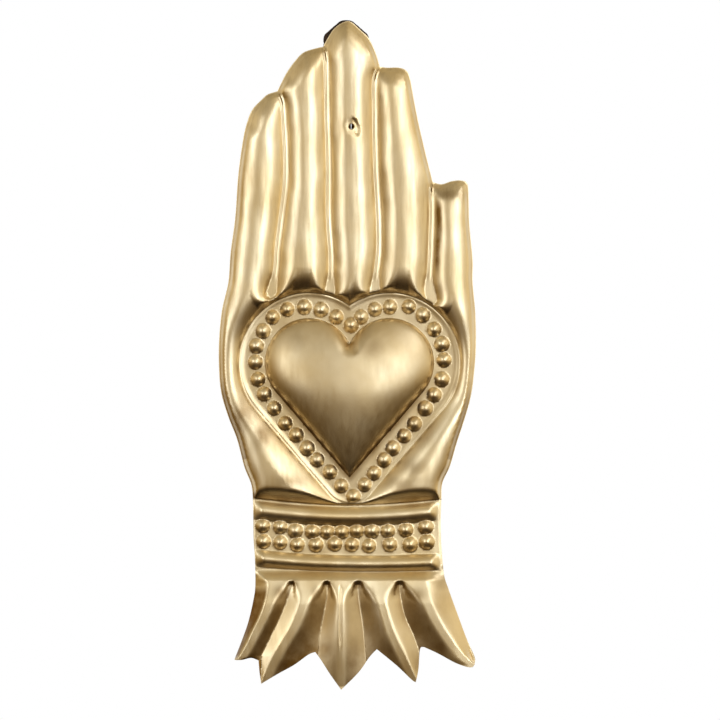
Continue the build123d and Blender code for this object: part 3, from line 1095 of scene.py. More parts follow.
@dataclass
class PatinaAndShade:
    """Where the brass is browned, by patina in its hollows and by painted shade, where it is dull and where
    it is drawn in streaks.

    Strengths run from 0 to 1, and places and widths are in millimetres. A spot has a middle X
    and Z, a width, a height and a strength. The back has the same three shares all over.
    """

    relief: Relief
    hollow: float = 0.3
    hollow_depth: Step = Step(0.4, 1.5)
    hollow_cells: int = 3
    hollow_end: float = -133.0
    # Painted shade beside the grooves, on the fingers' steep left walls: one strength per groove.
    grooves: Row = (0.0, 0.05, 0.3, 1.0)
    groove_widths: Row = (0.75, 0.75, 0.75, 1.1)
    groove_offset: float = 1.0
    groove_top_gap: float = 3.0
    groove_top_fade: float = 6.0
    groove_foot: Step = Step(-47.0, 8.0)
    # Painted shade under the cords, whose undersides face down.
    cord: float = 0.45
    cord_feet: Pair = (2.0, 1.9)
    cord_width: float = 0.75
    cord_rim: Step = Step(0.0, 3.0)
    # Painted shade on the palm's slope that faces down just above the wrist line.
    wrist: float = 0.7
    wrist_low: Step = Step(-1.0, 1.0)
    wrist_high: Step = Step(2.6, -1.6)
    wrist_right: Step = Step(27.0, -3.0)
    wrist_middle: float = -0.5
    wrist_middle_share: float = 0.25
    wrist_sides: Step = Step(8.0, 8.0)
    # Painted shade on the pleats' walls, one strength per wall.
    walls: Row = (1.0, 0.75, 0.0, 0.72, 0.12, 0.38, 0.52, 0.1, 0.62, 0.3)
    wall_top: Step = Step(-136.5, -4.0)
    wall_right: Step = Step(32.0, -5.0)
    wall_end: float = 0.3
    wall_ends: Step = Step(-150.0, -12.0)
    ridge_clear: Step = Step(0.7, 1.4)
    wide_wall: int = 3
    wide_wall_clear: float = 0.8
    # Painted shade round the beads' feet, strongest at their lower left.
    bead: float = 0.52
    bead_ring: float = 0.95
    bead_ring_width: float = 0.2
    bead_all_round: float = 0.35
    bead_lower_left: float = 0.45
    bead_edge: float = 0.4
    flange: float = 0.27
    flange_edge: Step = Step(0.0, 1.0)
    heart: float = 0.22
    heart_dull: Step = Step(0.0, 3.0)
    # Painted shade along the rim of the lower heart, where it turns down.
    rim: float = 0.8
    rim_widths: Pair = (1.0, 1.7)
    rim_lower: Step = Step(-74.0, -8.0)
    # Painted shade on the fingers' slopes that face down.
    slope: float = 0.47
    slope_lean: Step = Step(0.06, 0.34)
    slope_end: float = -100.0
    drawn_palm: float = 0.25
    drawn_upper: Step = Step(-66.0, 16.0)
    back: tuple[float, float, float] = (0.4, 1.0, 0.25)
    # Spots of painted shade on the palm, the heart, a fingertip, the valleys' heads and the pleats.
    spots: list[Row] = field(default_factory=lambda: [
        (-32.6, -86.5, 3.4, 5.5, 0.9), (-26.8, -93.0, 3.0, 4.0, 0.8), (-18.5, -106.3, 4.5, 2.4, 0.7),
        (18.0, -102.0, 4.0, 3.5, 0.5), (21.5, -91.5, 4.0, 6.0, 0.4), (14.0, -107.0, 5.0, 2.2, 0.5),
        (21.0, -106.5, 4.0, 2.2, 0.45), (31.3, -78.5, 1.8, 4.0, 0.4), (27.7, -96.5, 1.8, 4.0, 0.35),
        (6.0, -66.5, 5.0, 5.0, 0.48), (-17.0, -65.0, 5.5, 5.0, 0.36), (29.0, -20.5, 4.5, 2.0, 0.6),
        (14.0, -139.0, 2.5, 2.0, 0.8), (19.0, -140.5, 3.0, 2.2, 0.7), (27.0, -136.5, 2.5, 4.0, 0.5),
        (-21.5, -140.0, 2.2, 2.5, 0.8), (2.0, -142.0, 2.0, 4.0, 0.5), (-8.2, -156.8, 3.0, 4.0, 0.85),
        (-17.5, -137.1, 1.5, 1.2, 0.9), (-7.3, -137.6, 1.5, 1.2, 0.9), (1.9, -137.9, 1.5, 1.2, 0.9),
        (13.9, -137.9, 1.5, 1.2, 0.9)])

    def in_hollows(self, places: Array) -> Array:
        """Brown of the hollows: it grows with the depth below the height averaged over a square.

        Args:
            places: Places X, Z, in millimetres.

        Returns:
            Share of brown at each place.
        """
        form = self.relief
        grid = Field(*form.sheet_box, form.grid_step)
        nodes = grid.nodes()
        flat = nodes.reshape(-1, 2)
        height = np.where(inside(flat, form.edge), form.height(flat), form.sheet)
        height = height.reshape(nodes.shape[:2])
        shifts = range(-self.hollow_cells, self.hollow_cells + 1)
        mean = height
        for axis in (0, 1):
            mean = np.mean([np.roll(mean, shift, axis) for shift in shifts], axis=0)
        depth = grid.read(mean - height, places)
        return self.hollow * self.hollow_depth(depth) * (places[:, 1] > self.hollow_end)

    def shade_beside_grooves(self, places: Array) -> Array:
        """Painted shade along the right of each groove, on the finger's wall there: a bell that fades at the
        groove's two ends.

        Args:
            places: Places X, Z, in millimetres.

        Returns:
            Share of painted shade at each place.
        """
        x, z = places.T
        total = np.zeros(len(places))
        for line, strength, wide in zip(self.relief.groove_lines, self.grooves, self.groove_widths):
            side = x - self.relief.down(line, z)
            top = Step(line[0, 1] - self.groove_top_gap, -self.groove_top_fade)
            painted_shade = bell(side - self.groove_offset - wide, wide) * top(z) * self.groove_foot(z)
            total = np.maximum(total, strength * painted_shade)
        return total

    def under_cords(self, places: Array) -> Array:
        """Share of the underside of the cords: a bell over the distance from each one's foot.

        Args:
            places: Places X, Z, in millimetres.

        Returns:
            A share from 0 to 1 at each place.
        """
        x, z = places.T
        down = [self.relief.at(line, x) - z for line in self.relief.cord_lines]
        return np.max([bell(gap - foot, self.cord_width) for gap, foot in zip(down, self.cord_feet)], axis=0)

    def shade_over_wrist(self, places: Array) -> Array:
        """Painted shade on the palm's down-facing slope just above the wrist line, weaker in its middle.

        Args:
            places: Places X, Z, in millimetres.

        Returns:
            Share of painted shade at each place.
        """
        x, z = places.T
        up = z - self.relief.at(self.relief.wrist_line, x)
        darkening_share = self.wrist_low(up) * self.wrist_high(up) * self.wrist_right(x)
        least = self.wrist_middle_share
        return self.wrist * darkening_share * (least + (1 - least) * self.wrist_sides(np.abs(x - self.wrist_middle)))

    def shade_on_pleats(self, places: Array) -> Array:
        """Painted shade on the pleats' walls, each of its own strength, which leaves the ridges clear.

        Args:
            places: Places X, Z, in millimetres.

        Returns:
            Share of painted shade at each place.
        """
        x, z = places.T
        lines = np.array([self.relief.down(line, z) for line in self.relief.pleat_lines])
        number = (x >= lines).sum(0)
        wall = np.array(self.walls)[number]
        wall = wall + self.wall_end * self.wall_ends(z) * ((wall > 0) & (x > lines[0]))
        ridge_gap = np.abs(x - lines[::2]).min(0) - self.wide_wall_clear * (number == self.wide_wall)
        return wall * self.ridge_clear(ridge_gap) * self.wall_top(z) * self.wall_right(x)

    def shade_spots(self, places: Array) -> Array:
        """Painted shade in spots on the palm, the heart, a fingertip, at the valleys' heads and on the
        pleats: oval bells.
        """
        x, z = places.T
        return np.max([strength * bell(x - at_x, wide) * bell(z - at_z, tall)
                       for at_x, at_z, wide, tall, strength in self.spots], axis=0)

    def bead_shade(self, places: Array) -> tuple[Array, Array]:
        """Painted shade round the beads, strongest at their lower left, and what the beads cover.

        Args:
            places: Places X, Z, in millimetres.

        Returns:
            Share of painted shade and share of cover at each place.
        """
        radius = self.relief.bead_radius
        top = Step(radius, -self.bead_edge)
        painted_shade, cover = np.zeros(len(places)), np.zeros(len(places))
        for middle in self.relief.heart_beads + self.relief.band_beads:
            way = places - middle
            gap = np.maximum(np.hypot(*way.T), 1e-6)
            lean = np.maximum(self.bead_all_round - self.bead_lower_left * way.sum(1) / gap, 0)
            ring = bell(gap / radius - self.bead_ring, self.bead_ring_width)
            painted_shade = np.maximum(painted_shade, self.bead * ring * lean)
            cover = np.maximum(cover, top(gap))
        return painted_shade, cover

    def front(self, places: Array, lean: Array) -> tuple[Array, Array, Array]:
        """Brown, dull and drawn shares of the front.

        Formula: brown is the strongest of its causes. Besides those of the other methods these are an even
        darker tone on the heart and its flange, and painted shade on the rim of the lower heart and on the
        fingers' slopes that face down. The heart and the undersides of the cords are rubbed dull, and the
        fingers are drawn in streaks.

        Args:
            places: X and Z of the vertices.
            lean: Slope along X and Z at each of them.

        Returns:
            The three shares at each vertex.
        """
        form, z = self.relief, places[:, 1]
        heart = inside(places, form.heart_loop)
        flange = inside(places, form.flange_loop) & ~heart
        heart_gap = distance(places, form.heart_line)
        under = self.under_cords(places)
        bead_shade, cover = self.bead_shade(places)
        flange_tone = flange * self.flange_edge(distance(places, form.flange_line)) * (1 - cover)
        rim = bell(heart_gap, np.where(heart, *self.rim_widths)) * self.rim_lower(z)
        # Painted shade on slopes that face down, browner the more they lean.
        down_facing_shade = self.slope_lean(lean[:, 1]) * ~(flange | heart | (z < self.slope_end))
        brown = np.max([
            self.in_hollows(places), self.shade_beside_grooves(places), self.shade_over_wrist(places),
            self.shade_on_pleats(places), self.shade_spots(places), bead_shade,
            # Painted shade on the cords' undersides, which face down.
            self.cord * under * self.cord_rim(distance(places, form.edge_line)),
            self.flange * flange_tone, self.heart * heart, self.rim * rim, self.slope * down_facing_shade,
        ], axis=0)
        dull = np.maximum(heart * self.heart_dull(heart_gap), under)
        drawn = self.drawn_palm + (1 - self.drawn_palm) * self.drawn_upper(z)
        return brown, dull, drawn * ~(heart | flange)

    def mark(self, piece: bpy.types.Object, places: Array, lean: Array) -> None:
        """Writes the three shares on the sheet as attributes.

        Args:
            piece: The sheet, whose front's vertices come first.
            places: X and Z of the front's vertices.
            lean: Slope of the front along X and Z, at each of them.
        """
        behind = len(piece.data.vertices) - len(places)
        for name, shares, back in zip(("brown", "dull", "drawn"), self.front(places, lean), self.back):
            layer = piece.data.attributes.new(name, "FLOAT", "POINT")
            values = np.concatenate([shares, np.full(behind, back)])
            layer.data.foreach_set("value", values.astype(np.float32))


@dataclass
class EmbossedHand:
    """The hand in one raised sheet, with its hollow back and the nail hole, in millimetres."""

    relief: Relief = field(default_factory=Relief)
    hole_radius: float = 0.8
    hole_sides: int = 28
    hole_rings: Row = (1.1, 1.45, 1.9, 2.4, 3.0)
    hole_counts: tuple[int, ...] = (26, 26, 28, 30, 34)
    hole_margin: float = 0.12
    hole_share: float = 0.98
    edge_margin: float = 0.22
    cord_reach: float = 3.3
    ridge_creases: Row = (0.0, 0.25, -0.25, 0.5, -0.5)
    ridge_step: float = 0.6
    groove_creases: Row = (0.0, 0.3, -0.3, 0.6, -0.6, 0.95, -0.95)
    groove_step: float = 0.5
    crease_margin: float = 0.3
    crease_clearance: float = 0.17
    slope_reach: float = 0.12
    steepest_square: float = 6.0

    def hole(self) -> Array:
        """Edge of the nail hole."""
        turn = np.linspace(0, 2 * math.pi, self.hole_sides, endpoint=False)
        return self.hole_radius * np.column_stack([np.cos(turn), np.sin(turn)])

    def spread(self, skin: Skin) -> Array:
        """Points over the sheet, close together where its form is fine.

        Args:
            skin: Front or back.

        Returns:
            Points inside the cut edge and outside the nail hole.
        """
        form, fine = self.relief, skin.value
        radii = tuple(form.bead_radius * share for share in fine.bead_shares)
        cord_rows = tuple(np.arange(-self.cord_reach, self.cord_reach + 0.01, fine.cord_row_gap))
        runs = [
            ([form.edge_line], fine.gap, fine.edge_rows),
            (form.groove_lines, fine.gap, fine.groove_rows),
            ([form.heart_line, form.flange_line], fine.gap, fine.heart_rows),
            (form.cord_lines, fine.cord_gap, cord_rows),
            ([form.wrist_line, *form.pleat_lines], fine.gap, fine.pleat_rows),
        ]
        points = thin_out(np.vstack([
            rings(form.heart_beads + form.band_beads, radii, fine.bead_counts),
            rings([(0.0, 0.0)], self.hole_rings, self.hole_counts)[1:],
            *(rows_beside(even_line(line, gap), rows) for lines, gap, rows in runs for line in lines),
            hex_points(*form.sheet_box, fine.lattice),
        ]), fine.cell)
        points = points[inside(points, form.edge)]
        points = points[distance(points, form.edge_line) > self.edge_margin]
        return points[np.hypot(*points.T) > self.hole_radius + self.hole_margin]

    def creases(self) -> list[Array]:
        """Open lines that the triangles follow: the grooves, the valleys and the middle ridge.

        Returns:
            Points along each line, clear of the cut edge and of the heart's flange.
        """
        form = self.relief
        ridge = even_line(form.pleat_lines[form.middle_ridge], self.ridge_step)
        lines = form.pleat_lines[1::2] + [rows_beside(ridge, (offset,)) for offset in self.ridge_creases]
        for groove in form.groove_lines:
            floor = even_line(groove, self.groove_step)
            lines += [rows_beside(floor, (offset,)) for offset in self.groove_creases]
        lines = [line[inside(line, form.edge) & ~inside(line, form.flange_loop)] for line in lines]
        for edge in (form.edge_line, form.flange_line):
            lines = [line[distance(line, edge) > self.crease_margin] for line in lines]
        return lines

    def weave(self, skin: Skin) -> tuple[Array, Array, list[Array]]:
        """Joins the points of one skin into triangles.

        Triangles whose middle lies inside a share of the nail hole's radius are left out, so a
        few slivers stay at its edge.

        Args:
            skin: Front or back.

        Returns:
            Places X, Z, triangles that turn left as the viewer sees them, and the vertex
            numbers round the cut edge and round the nail hole.
        """
        form = self.relief
        loops = [form.edge, self.hole(), form.heart_loop, form.flange_loop]
        runs = self.creases()
        loose = self.spread(skin)
        for line in (form.heart_line, form.flange_line, *runs):
            loose = loose[distance(loose, line, 1.0) > self.crease_clearance]
        points = np.vstack([*loops, *runs, loose])
        bounds, start = [], 0
        for at, line in enumerate([*loops, *runs]):
            numbers = np.arange(start, start + len(line))
            pairs = np.column_stack([numbers, np.roll(numbers, -1)])
            bounds += (pairs if at < len(loops) else pairs[:-1]).tolist()
            start += len(line)
        made = delaunay_2d_cdt([Vector(p) for p in points.tolist()], bounds, [], 1, 1e-5)
        places, faces = np.array([tuple(v) for v in made[0]]), np.array(made[2])
        new_number = np.zeros(len(points), int)
        for number, sources in enumerate(made[3]):
            new_number[sources] = number
        rim, hole = np.split(new_number[:len(loops[0]) + len(loops[1])], [len(loops[0])])
        faces = faces[np.hypot(*places[faces].mean(1).T) > self.hole_radius * self.hole_share]
        a, b, c = (places[faces[:, at]] for at in range(3))
        turn = (b - a)[:, 0] * (c - a)[:, 1] - (b - a)[:, 1] * (c - a)[:, 0]
        faces[turn < 0] = faces[turn < 0][:, ::-1]
        return places, faces, [rim, hole]

    def lean(self, points: Array) -> Array:
        """Slope of the front along X and Z: the difference in height over a short step.

        Args:
            points: Places X, Z, in millimetres.

        Returns:
            Two slopes for each point.
        """
        reach, height = self.slope_reach, self.relief.height
        return np.column_stack([
            (height(points + step) - height(points - step)) / (2 * reach)
            for step in ([reach, 0.0], [0.0, reach])
        ])

    def build(self) -> bpy.types.Object:
        """Makes the sheet: front, back, the cut edge and the wall of the nail hole.

        Formula: the back is the front less the thickness, measured square to the slope, and
        lies flat where that would pass the back plane.

        Returns:
            The sheet, marked for its finish.
        """
        front, front_faces, front_loops = self.weave(Skin.FRONT)
        back, back_faces, back_loops = self.weave(Skin.BACK)
        front_lean, back_lean = self.lean(front), self.lean(back)
        steep = np.sqrt(1 + np.minimum((back_lean**2).sum(1), self.steepest_square))
        low = self.relief.height(back) - self.relief.sheet * steep
        back_lean[low <= 0] = 0
        shift = len(front)
        points = np.vstack([
            np.column_stack([front[:, 0], -self.relief.height(front), front[:, 1]]),
            np.column_stack([back[:, 0], -np.maximum(low, 0), back[:, 1]]),
        ])
        faces = front_faces.tolist() + (back_faces[:, ::-1] + shift).tolist()
        for near, far, way in zip(front_loops, back_loops, (1, -1)):
            step = np.roll(near, -1), np.roll(far, -1)
            wall = np.column_stack([near, step[0], step[1] + shift, far + shift])
            faces += wall[:, ::way].tolist()
        piece = new_piece("raised_sheet", points, faces)
        normals = np.vstack([
            np.column_stack([-front_lean[:, 0], np.full(shift, -1.0), -front_lean[:, 1]]),
            np.column_stack([back_lean[:, 0], np.full(len(back), 1.0), back_lean[:, 1]]),
        ])
        self.shade(piece, normals, 3 * (len(front_faces) + len(back_faces)))
        PatinaAndShade(self.relief).mark(piece, front, front_lean)
        return piece

    @staticmethod
    def shade(piece: bpy.types.Object, normals: Array, skin_corners: int) -> None:
        """Shades both skins by the slope of their form and the cut walls by their own faces.

        Args:
            piece: The sheet.
            normals: Way that the form faces at each vertex, of any length.
            skin_corners: Number of face corners on the two skins, which come first.
        """
        mesh = piece.data
        vertex = np.empty(len(mesh.loops), int)
        mesh.loops.foreach_get("vertex_index", vertex)
        facing = np.empty(3 * len(mesh.polygons))
        mesh.polygons.foreach_get("normal", facing)
        corners = (normals / np.linalg.norm(normals, axis=1, keepdims=True))[vertex]
        walls = (len(vertex) - skin_corners) // 4
        corners[skin_corners:] = np.repeat(facing.reshape(-1, 3)[-walls:], 4, axis=0)
        mesh.normals_split_custom_set(corners.tolist())

    def dress(self, piece: bpy.types.Object, brass: bpy.types.Material) -> None:
        """Gives the sheet its brass and sets it in the place of the CAD hand.

        Args:
            piece: The sheet.
            brass: Its finish.
        """
        piece.data.materials.append(brass)
        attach(piece, Body.HAND.value)
        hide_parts("embossed_hand")


@dataclass
class NailBurr:
    """Two torn lips of sheet that the nail bent inwards, with a slit between them, in millimetres."""

    radius: float = 0.8
    slit: float = 0.12
    slit_place: float = -0.1
    depth: float = 0.9
    thickness: float = 0.12
    half_turn: float = 88.0
    raggedness: float = 0.25
    teeth: float = 5.0
    sag: float = 0.3
    narrowing: float = 0.12
    rows: int = 7
    columns: int = 15

    def lip(self, side: int, start_y: float) -> Array:
        """Points of one lip.

        Formula: half the hole's edge is carried inwards to the slit and back into the hollow,
        by shares of the way.

        Args:
            side: 1 for the right lip, -1 for the left.
            start_y: Back of the sheet at the hole.

        Returns:
            Points of the lip, row by row.
        """
        turns = np.radians(np.linspace(-self.half_turn, self.half_turn, self.columns))
        turn, share = np.meshgrid(turns, np.linspace(0, 1, self.rows))
        edge = side * self.radius * np.cos(turn)
        tip = self.slit_place + side * self.slit * (1 + self.raggedness * np.sin(self.teeth * turn))
        x = edge + (tip - edge) * share
        y = start_y + self.depth * share * (1 + self.sag * (1 - share)) * np.sqrt(np.cos(turn))
        z = self.radius * np.sin(turn) * (1 - self.narrowing * share)
        return np.stack([x, y, z], -1).reshape(-1, 3)

    def build(self, start_y: float, brass: bpy.types.Material) -> bpy.types.Object:
        """Makes both lips.

        Args:
            start_y: Back of the sheet at the hole.
            brass: Finish of the torn metal, painted dark brown as shade, as dark as the hollow that it hangs
                in.

        Returns:
            The two lips in one piece.
        """
        faces = np.array(grid_faces(self.rows, self.columns))
        points = np.vstack([self.lip(1, start_y), self.lip(-1, start_y)])
        both = np.vstack([faces, faces[:, ::-1] + self.rows * self.columns])
        piece = new_piece("nail_burr", points, both.tolist())
        wall = piece.modifiers.new("sheet", "SOLIDIFY")
        wall.thickness, wall.offset = self.thickness * MM, 0.0
        piece.data.materials.append(brass)
        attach(piece, Body.HAND.value)
        return piece


@dataclass(frozen=True)
class SatinBrass:
    """Hand-raised brass, polished to a satin, gone brown in its hollows, and painted browner where shade
    falls.

    The eye sees warm gold with soft, streaky reflections and darker painted shade.
    """

    name: str = "satin_brass"
    bright: str = "#EBD8B0"
    deep: str = "#E0C796"
    # Brown for patina and for painted shade alike.
    tarnish_and_shade: str = "#7A5A2A"
    roughness: float = 0.33
    heart_haze: float = 0.07
    # A polishing cloth's scratches are too fine to show, so they are drawn twice as wide.
    streak_mm: float = 0.7
    streak_squash: float = 0.12
    streak_brown: float = 0.22
    cloud_mm: float = 7.0
    patch_mm: float = 2.5

    def make(self) -> bpy.types.Material:
        """Builds the node material.

        Returns:
            The brass.
        """
        material, tree = blank_material(self.name)
        place = add(tree, "ShaderNodeTexCoord").outputs["Object"]
        brown = add(tree, "ShaderNodeAttribute", attribute_name="brown").outputs["Fac"]
        dull = add(tree, "ShaderNodeAttribute", attribute_name="dull").outputs["Fac"]
        drawn = add(tree, "ShaderNodeAttribute", attribute_name="drawn").outputs["Fac"]
        long = add(tree, "ShaderNodeMapping", {"Vector": place, "Scale": (1.0, 1.0, self.streak_squash)})
        streak = add(tree, "ShaderNodeTexNoise", {
            "Vector": long.outputs["Vector"], "Scale": 1 / (self.streak_mm * MM * WAVE_GRAINS),
            "Detail": 4.0, "Roughness": 0.6}).outputs["Fac"]
        cloud = add(tree, "ShaderNodeTexNoise", {
            "Vector": place, "Scale": 1 / (self.cloud_mm * MM * WAVE_GRAINS), "Detail": 3.0}).outputs["Fac"]
        tone = add(tree, "ShaderNodeMapRange", {
            "Value": cloud, "From Min": 0.35, "From Max": 0.75}).outputs["Result"]
        metal = add(tree, "ShaderNodeMix", {
            "Factor": tone, 6: linear(self.bright), 7: linear(self.deep)}, data_type="RGBA")
        uneven = add(tree, "ShaderNodeTexNoise", {
            "Vector": place, "Scale": 1 / (self.patch_mm * MM * WAVE_GRAINS), "Detail": 4.0}).outputs["Fac"]
        patch = add(tree, "ShaderNodeMapRange", {
            "Value": uneven, "From Min": 0.3, "From Max": 0.65,
            "To Min": 0.75, "To Max": 1.1}).outputs["Result"]
        grain = add(tree, "ShaderNodeMapRange", {
            "Value": streak, "From Min": 0.42, "From Max": 0.72,
            "To Max": self.streak_brown}).outputs["Result"]
        lines = add(tree, "ShaderNodeMath", {0: grain, 1: drawn}, operation="MULTIPLY").outputs["Value"]
        # The brown attribute, patina in the hollows plus painted shade, and the drawn streaks set how far
        # the metal turns to this brown.
        darkening_share = add(tree, "ShaderNodeMath", {0: brown, 1: patch, 2: lines},
                   operation="MULTIPLY_ADD").outputs["Value"]
        colour = add(tree, "ShaderNodeMix", {
            "Factor": darkening_share, 6: metal.outputs[2], 7: linear(self.tarnish_and_shade)}, data_type="RGBA")
        polish = add(tree, "ShaderNodeMapRange", {
            "Value": streak, "From Min": 0.3, "From Max": 0.7,
            "To Min": self.roughness - 0.04, "To Max": self.roughness + 0.06}).outputs["Result"]
        rough = add(tree, "ShaderNodeMath", {0: dull, 1: self.heart_haze, 2: polish},
                    operation="MULTIPLY_ADD").outputs["Value"]
        bump = add(tree, "ShaderNodeBump", {
            "Height": streak, "Strength": 0.10, "Distance": 0.02 * MM}).outputs["Normal"]
        shader = add(tree, "ShaderNodeBsdfPrincipled", {
            "Base Color": colour.outputs[2], "Metallic": 1.0, "Roughness": rough, "Normal": bump})
        add(tree, "ShaderNodeOutputMaterial", {"Surface": shader.outputs["BSDF"]})
        return material


@dataclass(frozen=True)
class BlackIron:
    """Iron wire blackened by heat: nearly black, with a dull sheen and brown specks."""

    name: str = "blackened_iron"
    scale: str = "#2A1E14"
    rust: str = "#4A2F18"
    grit_mm: float = 0.5

    def make(self) -> bpy.types.Material:
        """Builds the node material.

        Returns:
            The iron.
        """
        material, tree = blank_material(self.name)
        place = add(tree, "ShaderNodeTexCoord").outputs["Object"]
        grit = add(tree, "ShaderNodeTexNoise", {
            "Vector": place, "Scale": 1 / (self.grit_mm * MM * WAVE_GRAINS), "Detail": 5.0}).outputs["Fac"]
        patch = add(tree, "ShaderNodeMapRange", {
            "Value": grit, "From Min": 0.45, "From Max": 0.7}).outputs["Result"]
        colour = add(tree, "ShaderNodeMix", {
            "Factor": patch, 6: linear(self.scale), 7: linear(self.rust)}, data_type="RGBA")
        rough = add(tree, "ShaderNodeMapRange", {
            "Value": grit, "To Min": 0.42, "To Max": 0.7}).outputs["Result"]
        bump = add(tree, "ShaderNodeBump", {
            "Height": grit, "Strength": 0.4, "Distance": 0.05 * MM}).outputs["Normal"]
        shader = add(tree, "ShaderNodeBsdfPrincipled", {
            "Base Color": colour.outputs[2], "Metallic": 0.6, "Roughness": rough, "Normal": bump})
        add(tree, "ShaderNodeOutputMaterial", {"Surface": shader.outputs["BSDF"]})
        return material


@dataclass(frozen=True)
class GreySolder:
    """Soft solder that was melted in and left: grey, lumpy and dull."""

    name: str = "soft_solder"
    fresh: str = "#9C9A94"
    dull: str = "#6A665E"
    lump_mm: float = 1.2

    def make(self) -> bpy.types.Material:
        """Builds the node material.

        Returns:
            The solder.
        """
        material, tree = blank_material(self.name)
        place = add(tree, "ShaderNodeTexCoord").outputs["Object"]
        lump = add(tree, "ShaderNodeTexNoise", {
            "Vector": place, "Scale": 1 / (self.lump_mm * MM * WAVE_GRAINS), "Detail": 3.0}).outputs["Fac"]
        colour = add(tree, "ShaderNodeMix", {
            "Factor": lump, 6: linear(self.fresh), 7: linear(self.dull)}, data_type="RGBA")
        bump = add(tree, "ShaderNodeBump", {
            "Height": lump, "Strength": 0.5, "Distance": 0.2 * MM}).outputs["Normal"]
        shader = add(tree, "ShaderNodeBsdfPrincipled", {
            "Base Color": colour.outputs[2], "Metallic": 1.0, "Roughness": 0.45, "Normal": bump})
        add(tree, "ShaderNodeOutputMaterial", {"Surface": shader.outputs["BSDF"]})
        return material


def tube_faces(rows: int, columns: int) -> list:
    """Faces of a tube of rings, with a face over each end."""
    first, last = np.arange(columns), np.arange(columns) + (rows - 1) * columns
    return grid_faces(rows, columns, wrap=True) + [first[::-1].tolist(), last.tolist()]


@dataclass
class HangerRing:
    """Bent iron wire with a straight bar at its foot, in millimetres."""

    wire: float = 1.1
    middle: float = -1.6
    depth: float = 1.4
    bend: float = 1.6
    half: Line = field(default_factory=lambda: [(5.8, 19.5), (5.8, 27.1), (1.2, 31.1)])
    rings: int = 220
    sides: int = 28
    arc_points: int = 16
    trace_step: float = 0.05
    hammering: float = 0.03
    blows: int = 17
    blow_drift: float = 40.0
    nick_place: float = 0.62
    nick_width: float = 0.004
    nick_depth: float = 0.12

    def path(self) -> Array:
        """Middle of the wire, X and Z, as points all round.

        Formula: straight runs, and at each corner an arc that is tangent to both.
        """
        corners = np.array(self.half + [(-x, z) for x, z in reversed(self.half)])
        inward = corners - np.roll(corners, 1, axis=0)
        outward = np.roll(corners, -1, axis=0) - corners
        inward /= np.hypot(*inward.T)[:, None]
        outward /= np.hypot(*outward.T)[:, None]
        turn = np.arccos(np.clip((inward * outward).sum(1), -1, 1))[:, None]
        start = corners - inward * self.bend * np.tan(turn / 2)
        left = np.column_stack([-inward[:, 1], inward[:, 0]])
        share = turn * np.linspace(0, 1, self.arc_points)
        along = self.bend * np.sin(share)[..., None] * inward[:, None]
        across = self.bend * (1 - np.cos(share))[..., None] * left[:, None]
        line = (start[:, None] + along + across).reshape(-1, 2)
        trace = even_line(closed(line), self.trace_step)
        return even_line(trace, np.hypot(*np.diff(trace, axis=0).T).sum() / self.rings)[:-1]

    def build(self, iron: bpy.types.Material) -> bpy.types.Object:
        """Makes the wire.

        Formula: a circle carried along the path, flattened a little by each hammer blow, with
        a nick where the wire's ends meet.

        Args:
            iron: Finish of the wire.

        Returns:
            The ring.
        """
        line = self.path()
        way = np.roll(line, -1, axis=0) - np.roll(line, 1, axis=0)
        way /= np.hypot(*way.T)[:, None]
        along = np.arange(len(line))[:, None] / len(line)
        turn = np.linspace(0, 2 * math.pi, self.sides, endpoint=False)[None]
        blows = np.sin(2 * math.pi * self.blows * along + 2 * np.sin(turn))
        blows = blows * np.cos(3 * turn + self.blow_drift * along)
        nick = self.nick_depth * bell(along - self.nick_place, self.nick_width)
        radius = self.wire * (1 - self.hammering + self.hammering * blows - nick)
        across = np.column_stack([way[:, 1], -way[:, 0]])
        points = np.stack([
            line[:, :1] + self.middle + radius * np.cos(turn) * across[:, :1],
            self.depth + radius * np.sin(turn),
            line[:, 1:] + radius * np.cos(turn) * across[:, 1:],
        ], -1)
        faces = grid_faces(*points.shape[:2], wrap=True, close=True)
        piece = new_piece("wire_ring", points.reshape(-1, 3), faces)
        piece.data.materials.append(iron)
        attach(piece, Body.RING.value)
        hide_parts("hanger_ring")
        return piece


